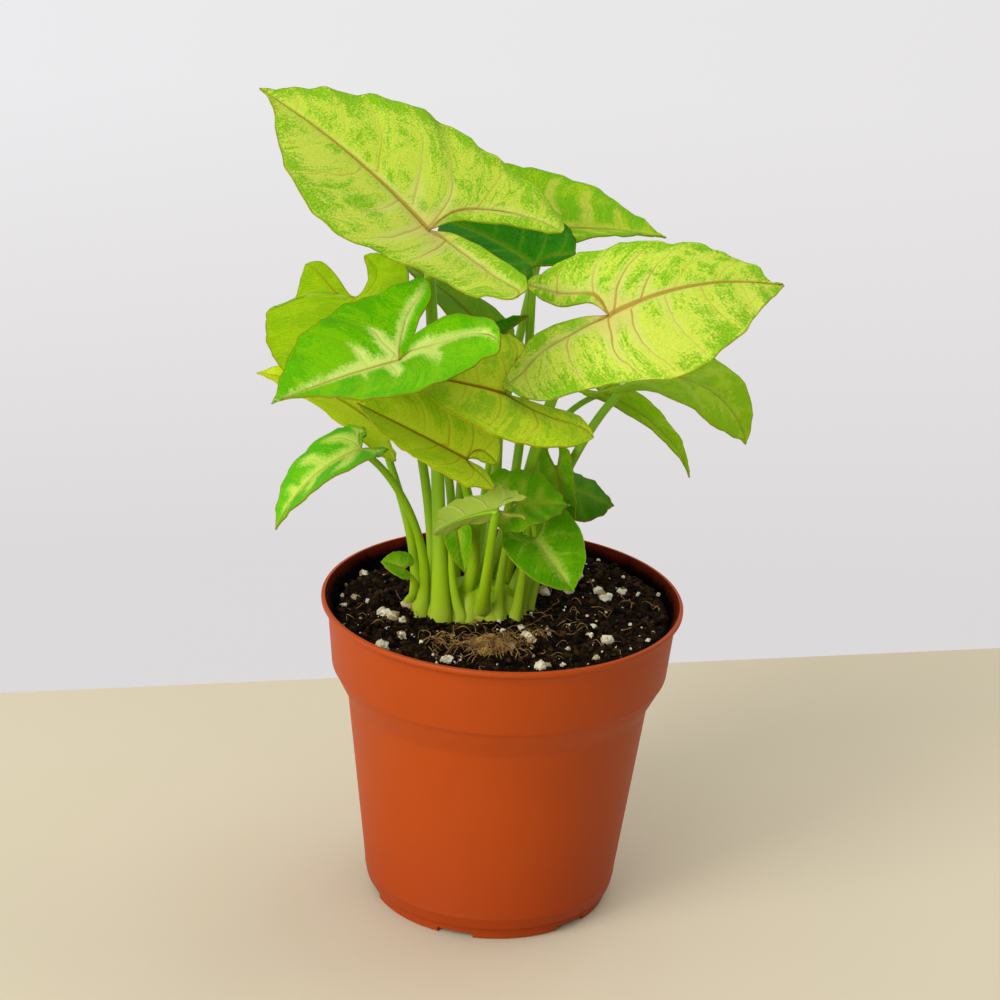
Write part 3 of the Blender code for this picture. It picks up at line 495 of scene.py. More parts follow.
class BladeFace(Finish):
    """The upper face: green speckle over a pale ground, haloed veins and a thin reddish edge."""

    def __init__(self, name, look):
        super().__init__(name, Specular_IOR_Level=0.05)
        self.look = look
        self.flat = self.attribute("flat", out="Vector")
        self.out, self.along, self.seed = self.split(self.flat)
        self.order, self.spacing, self.spine = self.split(self.attribute("vein", out="Vector"))
        self.rim, self.reach, _ = self.split(self.attribute("edge", out="Vector"))
        self.from_junction = (self.out * self.out + self.along * self.along).maths("SQRT")
        self.ragged = self.noise(0.45, at=self.flat) - 0.5
        self.grain = self.noise(1.5, roughness=0.75, at=self.flat)
        # noises drawn out along the side veins
        drawn = {0: self.spine * 0.45, 1: self.order * self.spacing, 2: self.seed}
        drawn = self.node("ShaderNodeCombineXYZ", inputs=drawn)
        self.patches = self.noise(0.14, detail=3.0, roughness=0.5, at=drawn)
        self.blotches = self.noise(0.45, roughness=0.65, at=drawn)
        # how far it is to the nearest side vein and to the nearest fine one
        wander = self.noise(0.05, detail=2.0, at=self.flat) - 0.5
        wavy = self.order + wander * 0.6 + self.ragged * 0.04
        nearest = wavy.maths("ROUND")
        self.side = (wavy - nearest).maths("ABSOLUTE") * self.spacing
        finer = wavy * 4.0 + wander * 1.5
        self.small = (finer - finer.maths("ROUND")).maths("ABSOLUTE") * self.spacing * 0.25
        chance = self.node("ShaderNodeTexWhiteNoise", {"noise_dimensions": "1D"}, {"W": nearest + self.seed})
        near = self.step(self.from_junction, 44.0, 8.0) * 0.7 + 0.3
        self.strength = (chance * 0.6 + 0.4) * self.step(self.order, 0.5, 3.0) * near

    def speckled(self):
        """Green speckle over the pale ground, thickest between the side veins and near the margin."""
        look, grain = self.look, self.grain
        pale = look.pale
        density = (self.patches - 0.5) * 1.9 + (self.blotches - 0.5) * 1.8
        density = density + self.step(self.side, 0.4, 2.6) * 0.3
        density = density + self.step(self.rim, 8.0, 1.0) * look.edge_green
        density = density - self.step(self.spine, 6.0, 0.5) * 0.16 + look.cover - 0.64
        # painted light: on one half the speckle is thinned and the ground is mixed towards a brighter
        # yellow, to lift that half where it is turned from the lamps
        if look.painted_light_half:
            half = self.step(self.out if look.painted_light_half > 0 else -self.out, -2.0, 8.0)
            density = density - half * abs(look.painted_light_half)
            pale = self.mix(half * 0.6, look.pale, tone(240, 240, 100))
        green = self.step(density + (grain - 0.5) * 2.1, -0.12, 0.3, smooth=False)
        green = green * (1 - look.speckle) + self.step(grain, 0.38, 0.62) * look.speckle
        return self.mix(green.maths("MINIMUM", 1.0), pale, look.green)

    def haloed(self, colour):
        """A pale feathered band along the main veins, and along the side veins near the junction."""
        look, grain, width = self.look, self.grain, self.look.halo_width
        faded = self.step(self.from_junction, look.halo_reach, look.halo_reach * 0.2, smooth=False)
        beside = self.step(self.from_junction, look.side_reach * 0.3, look.side_reach) * width * 1.5
        feather = (self.blotches - 0.5) * 2.4 + self.ragged * 1.2 + (grain - 0.5) * 1.2
        near = (self.side + beside).maths("MINIMUM", self.spine * 0.8) + feather * width * 0.6
        soft = self.step(near - faded * width + (grain - 0.5) * 3.0, 1.1, -1.1, smooth=False)
        return self.mix(soft * self.step(self.rim, 1.5, 5.0) * look.halo_share, colour, look.halo)

    def veined(self, colour):
        """Fine veins in the halo's colour, then side veins, a line inside the margin and main veins."""
        look, ragged, rim = self.look, self.ragged, self.rim
        if look.fine:
            hair = self.step(self.small, 0.3, 0.04) * self.step(rim, 1.0, 5.0)
            colour = self.mix(hair * (self.patches + 0.1) * look.fine, colour, look.halo)
        thin = self.step(self.reach, 1.0, 0.1, smooth=False) * 0.22 + 0.08
        line = self.step(self.side - thin, 0.08, -0.06) * self.step(rim, 1.2, 4.5) * self.strength
        colour = self.mix(line * look.side, colour, look.vein)
        if look.margin_line:
            inset = (rim + ragged * 1.6 - 3.4).maths("ABSOLUTE")
            colour = self.mix(self.step(inset, 0.26, 0.06) * look.margin_line, colour, look.vein)
        on_lobe = self.step(self.along, 0.5, -5.0)
        taper = self.step(self.from_junction, 66.0, 4.0, smooth=False) * look.rib_width + 0.12
        taper = taper * (1 - on_lobe * 0.55)
        main = self.step(self.spine - taper + ragged * 0.3, 0.34, -0.26) * (1 - on_lobe * 0.35)
        return self.mix(main * look.midrib, colour, look.vein)

    def relief(self):
        """Bumps: raised veins, the cells between them and a little grain."""
        ridges = self.step(self.side, 0.0, 0.8) * self.strength * 0.5 + self.step(self.spine, 0.0, 0.9) * 0.6
        cells = self.node("ShaderNodeTexVoronoi", {"feature": "DISTANCE_TO_EDGE"},
                          {"Vector": self.flat, "Scale": 0.55})
        return ridges + self.step(self.small, 0.0, 0.4) * 0.25 + cells * 0.3 + self.grain * 0.08


def blade_finish(name, look):
    face = BladeFace(name, look)
    colour = face.speckled()
    if look.halo_width:
        colour = face.haloed(colour)
    if look.blush:
        pink = face.step(face.from_junction + face.ragged * 4.0, 11.0, 1.0) * look.blush
        colour = face.mix(pink, colour, tone(236, 204, 128))
    colour = face.veined(colour)
    colour = face.mix(face.step(face.rim, 0.45, 0.12) * 0.7, colour, look.rim)
    face.set(Base_Color=colour, Roughness=look.rough + (face.grain - 0.5) * 0.2)
    face.bump(face.relief(), 0.22, 0.7)
    face.see_through(blend(look.pale, look.green), look.through)
    return face.material


def underside_finish(name, look):
    """The lower face: paler, duller, with its veins faintly lighter."""
    finish = Finish(name, roughness=0.6, Specular_IOR_Level=0.12)
    order, spacing, spine = finish.split(finish.attribute("vein", out="Vector"))
    side = (order - order.maths("ROUND")).maths("ABSOLUTE") * spacing
    grain = finish.noise(0.8, detail=5.0)
    pale = blend(look.pale, tone(168, 194, 84))
    colour = finish.mix(grain, pale, tuple(0.8 * part for part in pale))
    veins = finish.step(side.maths("MINIMUM", spine * 0.7), 0.5, 0.1)
    finish.set(Base_Color=finish.mix(veins * 0.4, colour, tone(190, 208, 110)))
    finish.bump(veins + grain * 0.15, 0.25, 0.6)
    finish.see_through(blend(look.pale, look.green), look.through)
    return finish.material


def stalk_finish():
    """Green above, nearly white-green where it comes out of the soil, with fine streaks along it."""
    finish = Finish("stalk_skin", roughness=0.38, Specular_IOR_Level=0.25)
    height = finish.height()
    turn = finish.attribute("round")
    drawn = finish.node("ShaderNodeCombineXYZ", inputs={0: turn * 9.0, 1: height * 0.05})
    streak = finish.noise(1.0, at=drawn)
    blotch = finish.noise(0.16)
    up = finish.step(height + (blotch - 0.5) * 16.0, 92.0, 150.0)
    colour = finish.mix(up, tone(156, 188, 26), tone(128, 178, 18))
    low = finish.step(height + (blotch - 0.5) * 8.0, 101.0, 87.0)
    colour = finish.mix(low * 0.7, colour, tone(186, 198, 70))
    colour = finish.mix(finish.step(streak, 0.42, 0.7) * 0.4, colour, tone(158, 194, 44))
    specks = finish.noise(1.5, detail=2.0)
    dirty = finish.step(specks, 0.66, 0.72) * finish.step(height, 112.0, 92.0)
    colour = finish.mix(dirty * 0.7, colour, (0.16, 0.10, 0.03))
    finish.set(Base_Color=colour, Roughness=0.34 + blotch * 0.14)
    finish.bump(streak * 0.6 + blotch * 0.4, 0.3, 0.5)
    finish.see_through(tone(150, 188, 32), 0.15)
    return finish.material


# ---- Shapes

def free_selection():
    """Object mode with nothing selected."""
    if bpy.context.object and bpy.context.object.mode != "OBJECT":
        bpy.ops.object.mode_set(mode="OBJECT")
    bpy.ops.object.select_all(action="DESELECT")


def only(piece):
    free_selection()
    piece.select_set(True)
    bpy.context.view_layer.objects.active = piece


def apply_all(piece):
    only(piece)
    for modifier in list(piece.modifiers):
        bpy.ops.object.modifier_apply(modifier=modifier.name)


def joined(name, parts):
    free_selection()
    for part in parts:
        part.select_set(True)
    bpy.context.view_layer.objects.active = parts[0]
    bpy.ops.object.join()
    piece = bpy.context.object
    piece.name = piece.data.name = name
    return piece


def placed(name, data):
    """A new object in the scene, of a mesh, curve, lamp or camera."""
    made = bpy.data.objects.new(name, data)
    bpy.context.scene.collection.objects.link(made)
    return made


@contextmanager
def editing(piece):
    """Edit mode on one piece, with all of it selected."""
    only(piece)
    bpy.ops.object.mode_set(mode="EDIT")
    bpy.ops.mesh.select_all(action="SELECT")
    yield
    bpy.ops.object.mode_set(mode="OBJECT")


def welded(piece):
    with editing(piece):
        bpy.ops.mesh.remove_doubles(threshold=0.00002)


def smoothed(piece, angle):
    """Smooth shading, with edges sharper than the angle kept, in degrees."""
    only(piece)
    bpy.ops.object.shade_smooth_by_angle(angle=math.radians(angle))


def shaped_grid(columns, rows, shape, words, finish, towards=None):
    """A grid whose points are moved to shape(u, v), which also gives values for the named words."""
    free_selection()
    bpy.ops.mesh.primitive_grid_add(x_subdivisions=columns, y_subdivisions=rows, size=1.0)
    sheet = bpy.context.object
    mesh = sheet.data
    flat = np.empty(len(mesh.vertices) * 3)
    mesh.vertices.foreach_get("co", flat)
    flat = flat.reshape(-1, 3)
    places, values = shape(flat[:, 0] + 0.5, flat[:, 1] + 0.5)
    mesh.vertices.foreach_set("co", (places * MM).ravel())
    for word, value in zip(words, values):
        kind, key = ("FLOAT", "value") if value.ndim == 1 else ("FLOAT_VECTOR", "vector")
        mesh.attributes.new(word, kind, "POINT").data.foreach_set(key, value.ravel())
    mesh.update()
    if towards is not None:
        normals = np.empty(len(mesh.polygons) * 3)
        mesh.polygons.foreach_get("normal", normals)
        if (normals.reshape(-1, 3) @ np.array(towards)).sum() < 0:
            mesh.flip_normals()
    mesh.materials.append(finish)
    return sheet


def half_outline(leaf, half):
    """Outline of one half of the flat blade, tip to junction: out from the midrib, along it."""
    length, width, lobe = leaf.length, leaf.width[half], leaf.lobe[half]
    if leaf.outline:
        return np.array(((0.0, length), *leaf.outline[half], (0.0, 0.0)))
    spread, sinus, full = leaf.lobe_spread[half], leaf.sinus[half], leaf.fullness
    return np.array((
        (0.0, length),
        ((0.075 + 0.05 * full) * width, 0.94 * length),
        ((0.32 + 0.16 * full) * width, 0.81 * length),
        ((0.64 + 0.14 * full) * width, 0.60 * length),
        ((0.88 + 0.07 * full) * width, 0.34 * length),
        (width, 0.06 * length),
        (max(0.97, 0.55 + 0.62 * spread) * width, -0.34 * lobe),
        (max(0.80, spread + 0.16) * width, -0.74 * lobe),
        (spread * width, -lobe),
        ((spread - 0.24) * width, -0.90 * lobe),
        (max(0.55 * spread, sinus) * width, -0.58 * lobe),
        (0.55 * sinus * width, -0.24 * lobe),
        (0.0, 0.0),
    ))


def margin(leaf, half, place):
    """Points on a half's outline at the given places, on a smooth curve through its corners."""
    corners = half_outline(leaf, half)
    ends = (2 * corners[0] - corners[1], 2 * corners[-1] - corners[-2])
    padded = np.vstack((ends[0], corners, ends[1]))
    n = np.clip(place.astype(int), 0, len(corners) - 2)
    t = (place - n)[:, None]
    a, b, c, d = (padded[n + k] for k in range(4))
    smooth = (2 * b + (c - a) * t + (2 * a - 5 * b + 4 * c - d) * t**2 + (3 * b - a - 3 * c + d) * t**3) / 2
    size = np.maximum(np.hypot(smooth[:, 0], smooth[:, 1]), 1.0)
    return smooth * (1 + ruffle(leaf, half, place) / size)[:, None]


def ruffle(leaf, half, place):
    """Uneven ripples of a blade's margin, in mm, none at the tip and the notch."""
    start = leaf.length * 3.7 + half * 2.1
    waves = np.sin(4.1 * place + start) + 0.7 * np.sin(7.3 * place + 2 * start) + 0.4 * np.sin(12.9 * place)
    return leaf.ripple * 0.5 * waves * np.clip(place / 1.5, 0, 1) * np.clip((SINUS_END - place) / 3, 0, 1)


def lobe_vein(leaf, half, t):
    """The vein from the junction (t = 0) into one lobe and to its end (t = 1), inside the lobe's middle."""
    inner = margin(leaf, half, SINUS_END - (SINUS_END - LOBE_END) * t)
    outer = margin(leaf, half, WIDEST + (LOBE_END - WIDEST) * t)
    return inner + (outer - inner) * (LOBE_VEIN_SHARE * (1 - (1 - t) ** 2))[:, None]


def vein_start(leaf, place):
    """Where on the midrib the side vein that ends at the given place of the margin starts."""
    def mean(at):
        ends = [margin(leaf, half, at) for half in (0, 1)]
        return sum(end[:, 1] - VEIN_SLANT * end[:, 0] for end in ends) / 2

    whole = mean(np.full_like(place, WIDEST))
    along = mean(place) - whole * place / WIDEST
    return np.stack((np.zeros_like(along), along), axis=1)


def turned_axes(leaf):
    """The blade's right, forward and up directions at its junction."""
    heading, rise, roll = (math.radians(v) for v in (leaf.heading, leaf.rise, leaf.roll))
    forward = np.array((math.cos(rise) * math.cos(heading), math.cos(rise) * math.sin(heading),
                        math.sin(rise)))
    level = np.array((math.sin(heading), -math.cos(heading), 0.0))
    above = np.cross(level, forward)
    right = level * math.cos(roll) + above * math.sin(roll)
    return right, forward, above * math.cos(roll) - level * math.sin(roll)


def bent(leaf, half, out, along, share, lift=0.0):
    """Bends points of the flat blade into place, lift mm above its upper face; share is the place
    on the outline, from 0 to 1, for the waves of the margin."""
    side = 1 if half == 0 else -1
    ahead = along >= 0
    reach = np.where(ahead, leaf.length, leaf.lobe[half])
    turn = np.radians(np.where(ahead, leaf.droop, leaf.lobe_droop))
    turn = np.where(np.abs(turn) < 1e-6, 1e-6, turn)
    angle = turn * np.abs(along) / reach
    forward = np.where(ahead, 1, -1) * np.sin(angle) * reach / turn
    down = (1 - np.cos(angle)) * reach / turn
    lean = np.where(ahead, 1, -1) * np.sin(angle)
    across = np.abs(out) / leaf.width[half]
    tilt = np.radians(leaf.cup[half] - leaf.curl * across / 2)
    height, count, start = leaf.waves
    wave = np.sin(2 * np.pi * count * share + math.radians(start) + (0 if half == 0 else 1.3))
    sideways = side * out * np.cos(tilt)
    up = np.abs(out) * np.sin(tilt) + height * np.minimum(across, 1.2) ** 2 * wave + lift
    roll = math.radians(leaf.twist) * along / leaf.length
    sideways, up = (sideways * np.cos(roll) - up * np.sin(roll),
                    sideways * np.sin(roll) + up * np.cos(roll))
    sideways = sideways + math.radians(leaf.sway) * along * np.abs(along) / (2 * leaf.length)
    right, ahead_way, above = turned_axes(leaf)
    return (np.array(leaf.junction) + sideways[:, None] * right
            + (forward + up * lean)[:, None] * ahead_way
            + (up * np.cos(angle) - down)[:, None] * above)


def relief(leaf, side, spine, rim):
    """How far the blade stands above its plain bend: grooved veins, puffed up between them."""
    puff = leaf.quilt * (1 - np.exp(-side / 1.6)) * (1 - np.exp(-spine / 2.5)) * np.clip(rim / 4, 0, 1)
    groove = leaf.quilt * 1.2 * np.exp(-((spine / 0.8) ** 2)) * np.clip(rim / 6, 0, 1)
    return puff - groove


def outer_strand(leaf, half, u, order):
    """Where the share u of the strand out from the main vein lies in the flat blade."""
    blade_place = WIDEST * np.minimum(order, leaf.veins) / leaf.veins
    t = np.clip((order - leaf.veins) / leaf.lobe_veins, 0, 1)
    on_blade = (order <= leaf.veins)[:, None]
    place = np.where(order <= leaf.veins, blade_place, WIDEST + (LOBE_END - WIDEST) * t)
    start = np.where(on_blade, vein_start(leaf, blade_place), lobe_vein(leaf, half, t))
    step = margin(leaf, half, place) - start
    arch = STRAND_ARCH * np.sin(np.pi * u)[:, None] * np.stack((-step[:, 1], step[:, 0]), axis=1)
    return start + step * u[:, None] - arch, np.hypot(step[:, 0], step[:, 1]), place


def inner_strand(leaf, half, u, order):
    """The same for the sheet between the lobe's main vein and the notch."""
    t = np.clip(order / leaf.lobe_veins, 0, 1)
    place = SINUS_END - (SINUS_END - LOBE_END) * t
    start = lobe_vein(leaf, half, t)
    step = margin(leaf, half, place) - start
    return start + step * u[:, None], np.hypot(step[:, 0], step[:, 1]), place


def blade_points(leaf, half, strand, orders, u, v):
    """Points on one sheet, u from its main vein to the margin, v along that vein, and their attributes."""
    order = v * orders
    flat, long, place = strand(leaf, half, u, order)
    after, before = (order + NEAR).clip(None, orders), (order - NEAR).clip(0, None)
    step = (strand(leaf, half, u, after)[0] - strand(leaf, half, u, before)[0]) / (after - before)[:, None]
    outward = strand(leaf, half, np.minimum(u + 0.01, 1), order)[0] - flat
    size = np.maximum(np.hypot(outward[:, 0], outward[:, 1]), 1e-6)
    spacing = np.abs(step[:, 0] * outward[:, 1] - step[:, 1] * outward[:, 0]) / size
    spacing = np.where(u > 0.99, leaf.length / (leaf.veins + 1), spacing)
    shifted = order + VEIN_SHIFT * half
    side = np.abs(shifted - np.round(shifted)) * spacing
    spine, rim = u * long, (1 - u) * long
    lift = relief(leaf, side, spine, rim)
    lift += 1.3 * ruffle(leaf, 1 - half, place + 0.4) * u**3 * np.clip(long / 8, 0, 1)
    seed = np.full_like(u, leaf.length + leaf.width[0])
    return bent(leaf, half, flat[:, 0], flat[:, 1], place / SINUS_END, lift), (
        np.stack((flat[:, 0] * (1 - 2 * half), flat[:, 1], seed), axis=1),
        np.stack((shifted, spacing, spine), axis=1),
        np.stack((rim, u, long), axis=1),
    )


def blade_sheets(leaf, finish):
    """Four sheets: each half has one outside its main vein and one between it and the notch."""
    above = turned_axes(leaf)[2]
    sheets = []
    for half in (0, 1):
        across = max(8, int(leaf.width[half] / POINT_SPACING))
        for strand, orders, columns in ((outer_strand, leaf.veins + leaf.lobe_veins, across),
                                        (inner_strand, leaf.lobe_veins, max(4, across // 3))):
            surface = partial(blade_points, leaf, half, strand, orders)
            sheets.append(shaped_grid(columns, ROWS_PER_VEIN * orders, surface,
                                      ("flat", "vein", "edge"), finish, above))
    return sheets


def stalk_route(leaf):
    """Points in mm and radii up the stalk and on under the midrib, nearly to the blade's tip."""
    foot, top = leaf.stalk
    above = turned_axes(leaf)[2]
    groove = 1.2 * leaf.quilt
    low = np.array((*leaf.foot, STALK_FOOT))
    ends = [np.array(p, float) for p in ((*leaf.foot, STALK_RISE), leaf.lower_bend, leaf.upper_bend,
                                        leaf.junction - above * (0.5 + 0.9 * top + groove))]
    places = [low, low + (ends[0] - low) * 0.5]
    radii = [foot, foot]
    for t in np.linspace(0, 1, STALK_POINTS):
        s = 1 - t
        places.append(ends[0] * s**3 + ends[1] * 3 * t * s * s + ends[2] * 3 * t * t * s + ends[3] * t**3)
        radii.append(foot + (top - foot) * t**0.7)
    for share in np.linspace(*MIDRIB_RUN, MIDRIB_POINTS):
        along = np.array((share * leaf.length,))
        radius = top * (0.62 * (1 - share) ** 1.2 + 0.06)
        below = 0.35 + groove + 0.85 * radius
        places.append(bent(leaf, 0, np.zeros(1), along, np.zeros(1), -below)[0])
        radii.append(radius)
    return np.array(places), np.array(radii)


def stalk(leaf, finish):
    """A tube along the route, flared towards its foot and grooved along its inner side."""
    places, radii = stalk_route(leaf)
    ways = np.gradient(places, axis=0)
    ways /= np.linalg.norm(ways, axis=1)[:, None]
    first = np.cross(ways[0], (0.0, 1.0, 0.0))
    sides = [first / np.linalg.norm(first)]
    for way in ways[1:]:
        side = sides[-1] - way * (sides[-1] @ way)
        sides.append(side / np.linalg.norm(side))
    sides = np.array(sides)
    fronts = np.cross(ways, sides)
    count = len(places)

    def tube(u, v):
        n = np.round(v * (count - 1)).astype(int)
        turn = 2 * np.pi * u
        radius = radii[n] * np.where((n == 0) | (n == count - 1), 0.0, 1.0)
        height = places[n][:, 2]
        flare = np.clip((FLARE_TOP - height) / FLARE_HEIGHT, 0, 1) ** 1.5 * FLARE_SHARE
        groove = GROOVE_SHARE * np.clip((height - GROOVE_START) / GROOVE_FADE, 0, 1)
        channel = 1 - groove * np.exp(-(((turn - np.pi / 2) / 0.5) ** 2))
        across = np.cos(turn) * (1 + flare) * channel
        deep = np.sin(turn) * channel
        where = places[n] + (radius * across)[:, None] * sides[n] + (radius * deep)[:, None] * fronts[n]
        return where, (u,)

    return shaped_grid(STALK_SIDES, count - 1, tube, ("round",), finish)


def crown(finish):
    """The pleated swelling in which the feet of the stalks join, just above the soil."""
    def surface(u, v):
        turn = 2 * np.pi * u
        climb = np.clip((v - CROWN_SKIRT) / (1 - CROWN_SKIRT), 0, 1) * np.pi / 2
        pleat = 1 + 0.05 * np.sin(CROWN_PLEATS[0] * turn + 1.0) + 0.03 * np.sin(CROWN_PLEATS[1] * turn)
        reach = np.where(v < CROWN_SKIRT, v / CROWN_SKIRT, np.cos(climb) ** 0.5) * pleat
        reach = np.where((v < 0.001) | (v > 0.999), 0.0, reach)
        return np.stack((CROWN_CENTRE[0] + CROWN_HALF[0] * reach * np.cos(turn),
                         CROWN_CENTRE[1] + CROWN_HALF[1] * reach * np.sin(turn),
                         CROWN_FOOT + CROWN_RISE * np.sin(climb)), axis=1), (u * 5,)

    return shaped_grid(CROWN_COLUMNS, CROWN_ROWS, surface, ("round",), finish)


def build_leaf(leaf, faces, skin):
    """A leaf as one piece: its blade, given its thickness downwards, and its stalk."""
    upper, under = faces
    blade = joined(f"{leaf.name}_blade", blade_sheets(leaf, upper))
    welded(blade)
    blade.data.materials.append(under)
    thick = blade.modifiers.new("thickness", "SOLIDIFY")
    thick.thickness = BLADE_THICKNESS * MM
    thick.offset = -1.0
    thick.material_offset = 1
    thick.material_offset_rim = 0
    apply_all(blade)
    stem = stalk(leaf, skin)
    if leaf.name == "leaf_centre":
        stem = joined("stalk_and_crown", [stem, crown(skin)])
    welded(stem)
    with editing(stem):
        bpy.ops.mesh.normals_make_consistent(inside=False)
    piece = joined(f"{leaf.name}_grown", [blade, stem])
    smoothed(piece, 50)
    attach(piece, "root")
    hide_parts(leaf.name)


# ---- The pot

def plastic_finish():
    """The outside: painted shade darkening it towards the foot, with faint scuffs."""
    finish = Finish("pot_plastic", Specular_IOR_Level=0.18)
    fine = finish.noise(3.2, detail=3.0)
    broad = finish.noise(0.03, detail=3.0)
    colour = finish.mix(broad, tone(154, 60, 8), tone(164, 66, 12))
    # painted shade: the body mixed towards a darker red-brown below 50 mm, most at the foot
    colour = finish.mix(finish.step(finish.height(), 50.0, 0.0) * 0.45, colour, tone(130, 42, 4))
    scuffs = finish.noise(0.5, detail=8.0, roughness=0.8)
    marks = finish.step(scuffs, 0.66, 0.74)
    colour = finish.mix(marks * 0.2, colour, tone(214, 128, 90))
    finish.set(Base_Color=colour, Roughness=0.42 + fine * 0.14 + marks * 0.2)
    finish.bump(fine + broad, 0.05, 0.5)
    return finish.material


def pot_inside_finish():
    """The inner wall, painted near black as shade, mottled, and less dark in a band just under the lip."""
    finish = Finish("pot_inside", roughness=0.9, Specular_IOR_Level=0.02)
    mottle = finish.noise(0.12, detail=5.0, roughness=0.7)
    height = finish.height()
    shade_free_top = finish.step(height + (mottle - 0.5) * 4.0, 93.0, 96.2)
    # painted shade: near-black mottled tones for the shade inside the pot
    colour = finish.mix(mottle, tone(8, 3, 1), tone(16, 6, 3))
    finish.set(Base_Color=finish.mix(shade_free_top, colour, tone(84, 30, 12)))
    return finish.material


def turned(name, profile, steps, finish):
    """A solid of revolution from (radius, height) points in mm: a ring, shaped, opened and spun."""
    free_selection()
    bpy.ops.mesh.primitive_circle_add(vertices=len(profile), radius=MM, calc_uvs=False)
    piece = bpy.context.object
    piece.name = piece.data.name = name
    for point, (radius, height) in zip(piece.data.vertices, profile):
        point.co = (radius * MM, 0, height * MM)
    with editing(piece):
        bpy.ops.mesh.select_mode(type="EDGE")
        bpy.ops.mesh.select_all(action="DESELECT")
        bpy.ops.object.mode_set(mode="OBJECT")
        for edge in piece.data.edges:
            edge.select = set(edge.vertices) == {0, len(profile) - 1}
        bpy.ops.object.mode_set(mode="EDIT")
        bpy.ops.mesh.delete(type="EDGE")
        bpy.ops.mesh.select_mode(type="VERT")
        bpy.ops.mesh.select_all(action="SELECT")
        bpy.ops.mesh.spin(steps=steps, angle=2 * math.pi, center=(0, 0, 0), axis=(0, 0, 1))
        bpy.ops.mesh.select_all(action="SELECT")
        bpy.ops.mesh.remove_doubles(threshold=0.00001)
        bpy.ops.mesh.normals_make_consistent(inside=False)
    piece.data.materials.append(finish)
    return piece


def beside(radius, height, *offsets):
    """Points of a profile, given by how far out and up they lie from one of its corners."""
    return [(radius + out, height + up) for out, up in offsets]


POT_PROFILE = (
    (0.0, FLOOR_TOP),
    *beside(BODY_BOTTOM_RADIUS - WALL, FLOOR_TOP, (-0.6, 0), (0, 2.0)),
    (BODY_TOP_RADIUS - WALL, SHOULDER_BOTTOM),
    *beside(RIM_RADIUS, BAND_BOTTOM, (-5.4, -0.4)),
    *beside(RIM_RADIUS, BAND_TOP, (-3.8, 0)),
    *beside(RIM_RADIUS, POT_HEIGHT, (-1.7, -0.8), (-1.35, -0.2), (-1.1, 0), (-0.6, 0), (-0.2, -0.15),
            (0, -0.5), (-0.05, -1.3), (-0.3, -1.7), (-1.1, -2.2)),
    *beside(RIM_RADIUS, BAND_TOP, (-1.5, 1.2), (-1.9, 0.2), (-2.2, -1.6)),
    *beside(RIM_RADIUS, BAND_BOTTOM, (-3.7, 0.5), (-3.85, 0.1), (-4.3, -0.1), (-4.65, -0.5), (-5.2, -2.4),
            (-6.7, -5.4)),
    *beside(BODY_TOP_RADIUS, SHOULDER_BOTTOM, (0.5, 1.4), (0, 0)),
    *beside(BODY_BOTTOM_RADIUS, FOOT_HEIGHT, (0.52, 4.1), (0.6, 3.8), (0.44, 3.5), (0.1, 1.2), (-0.2, 0.3),
            (-0.8, 0)),
    *beside(FOOT_RADIUS, FOOT_HEIGHT, (0.15, -0.2), (0, -0.6)),
    *beside(FOOT_RADIUS, 0.0, (0, 0.4), (-0.4, 0), (-2.4, 0)),
    *beside(FOOT_RADIUS, FLOOR_UNDERSIDE, (-2.8, 0)),
    *beside(MIDDLE_PAD_RADIUS, FLOOR_UNDERSIDE, (1.0, 0)),
    (MIDDLE_PAD_RADIUS, 0.0),
    (0.0, 0.0),
)


def build_pot():
    """The spun shell, with notches cut from its foot and drain holes from its floor."""
    pot = turned("pot_shell", POT_PROFILE, POT_STEPS, plastic_finish())
    cutters = []
    for n in range(NOTCHES):
        angle = math.radians(FIRST_NOTCH_ANGLE + n * 360 / NOTCHES)
        free_selection()
        bpy.ops.mesh.primitive_cube_add(
            size=1, location=(FOOT_RADIUS * math.cos(angle) * MM, FOOT_RADIUS * math.sin(angle) * MM, 0),
            rotation=(0, 0, angle), scale=(NOTCH_DEPTH * MM, NOTCH_WIDTH * MM, 2 * NOTCH_HEIGHT * MM))
        cutters.append(bpy.context.object)
        middle = angle + math.pi / NOTCHES
        free_selection()
        bpy.ops.mesh.primitive_cylinder_add(
            vertices=DRAIN_SIDES, radius=DRAIN_RADIUS * MM, depth=2 * FLOOR_TOP * MM,
            location=(DRAIN_CIRCLE * math.cos(middle) * MM, DRAIN_CIRCLE * math.sin(middle) * MM, 3 * MM))
        cutters.append(bpy.context.object)
    cutter = joined("pot_cutter", cutters)
    cut = pot.modifiers.new("openings", "BOOLEAN")
    cut.object = cutter
    cut.operation = "DIFFERENCE"
    cut.solver = "EXACT"
    apply_all(pot)
    bpy.data.objects.remove(cutter, do_unlink=True)
    # the inward-facing wall gets the painted-shade finish
    pot.data.materials.append(pot_inside_finish())
    for face in pot.data.polygons:
        outward = Vector((face.center.x, face.center.y, 0)).normalized()
        if face.center.z > FLOOR_TOP * MM and face.normal.dot(outward) < -0.5:
            face.material_index = 1
    smoothed(pot, 35)
    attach(pot, "root")
    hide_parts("pot")


# ---- The soil

def soil_height(x, y):
    """The soil's plain surface, in mm: a hollow round the stalks, low swells and the bigger lumps."""
    far = (x - HOLLOW_CENTRE[0]) ** 2 + (y - HOLLOW_CENTRE[1]) ** 2
    height = SOIL_EDGE - SOIL_HOLLOW * np.exp(-far / (2 * HOLLOW_SPREAD**2))
    height = height + 0.5 * np.sin(0.23 * x + 1.0) * np.cos(0.19 * y) + 0.02 * x
    height = height + 0.4 * np.sin(0.41 * x - 0.37 * y)
    for lump_x, lump_y, radius, rise in SOIL_LUMPS:
        off = np.hypot(x - lump_x, y - lump_y) / radius
        height = height + rise * np.maximum(0.0, 1 - off * off)
    return height


def ground(x, y):
    """The soil's height at one point."""
    return float(soil_height(np.array(x), np.array(y)))


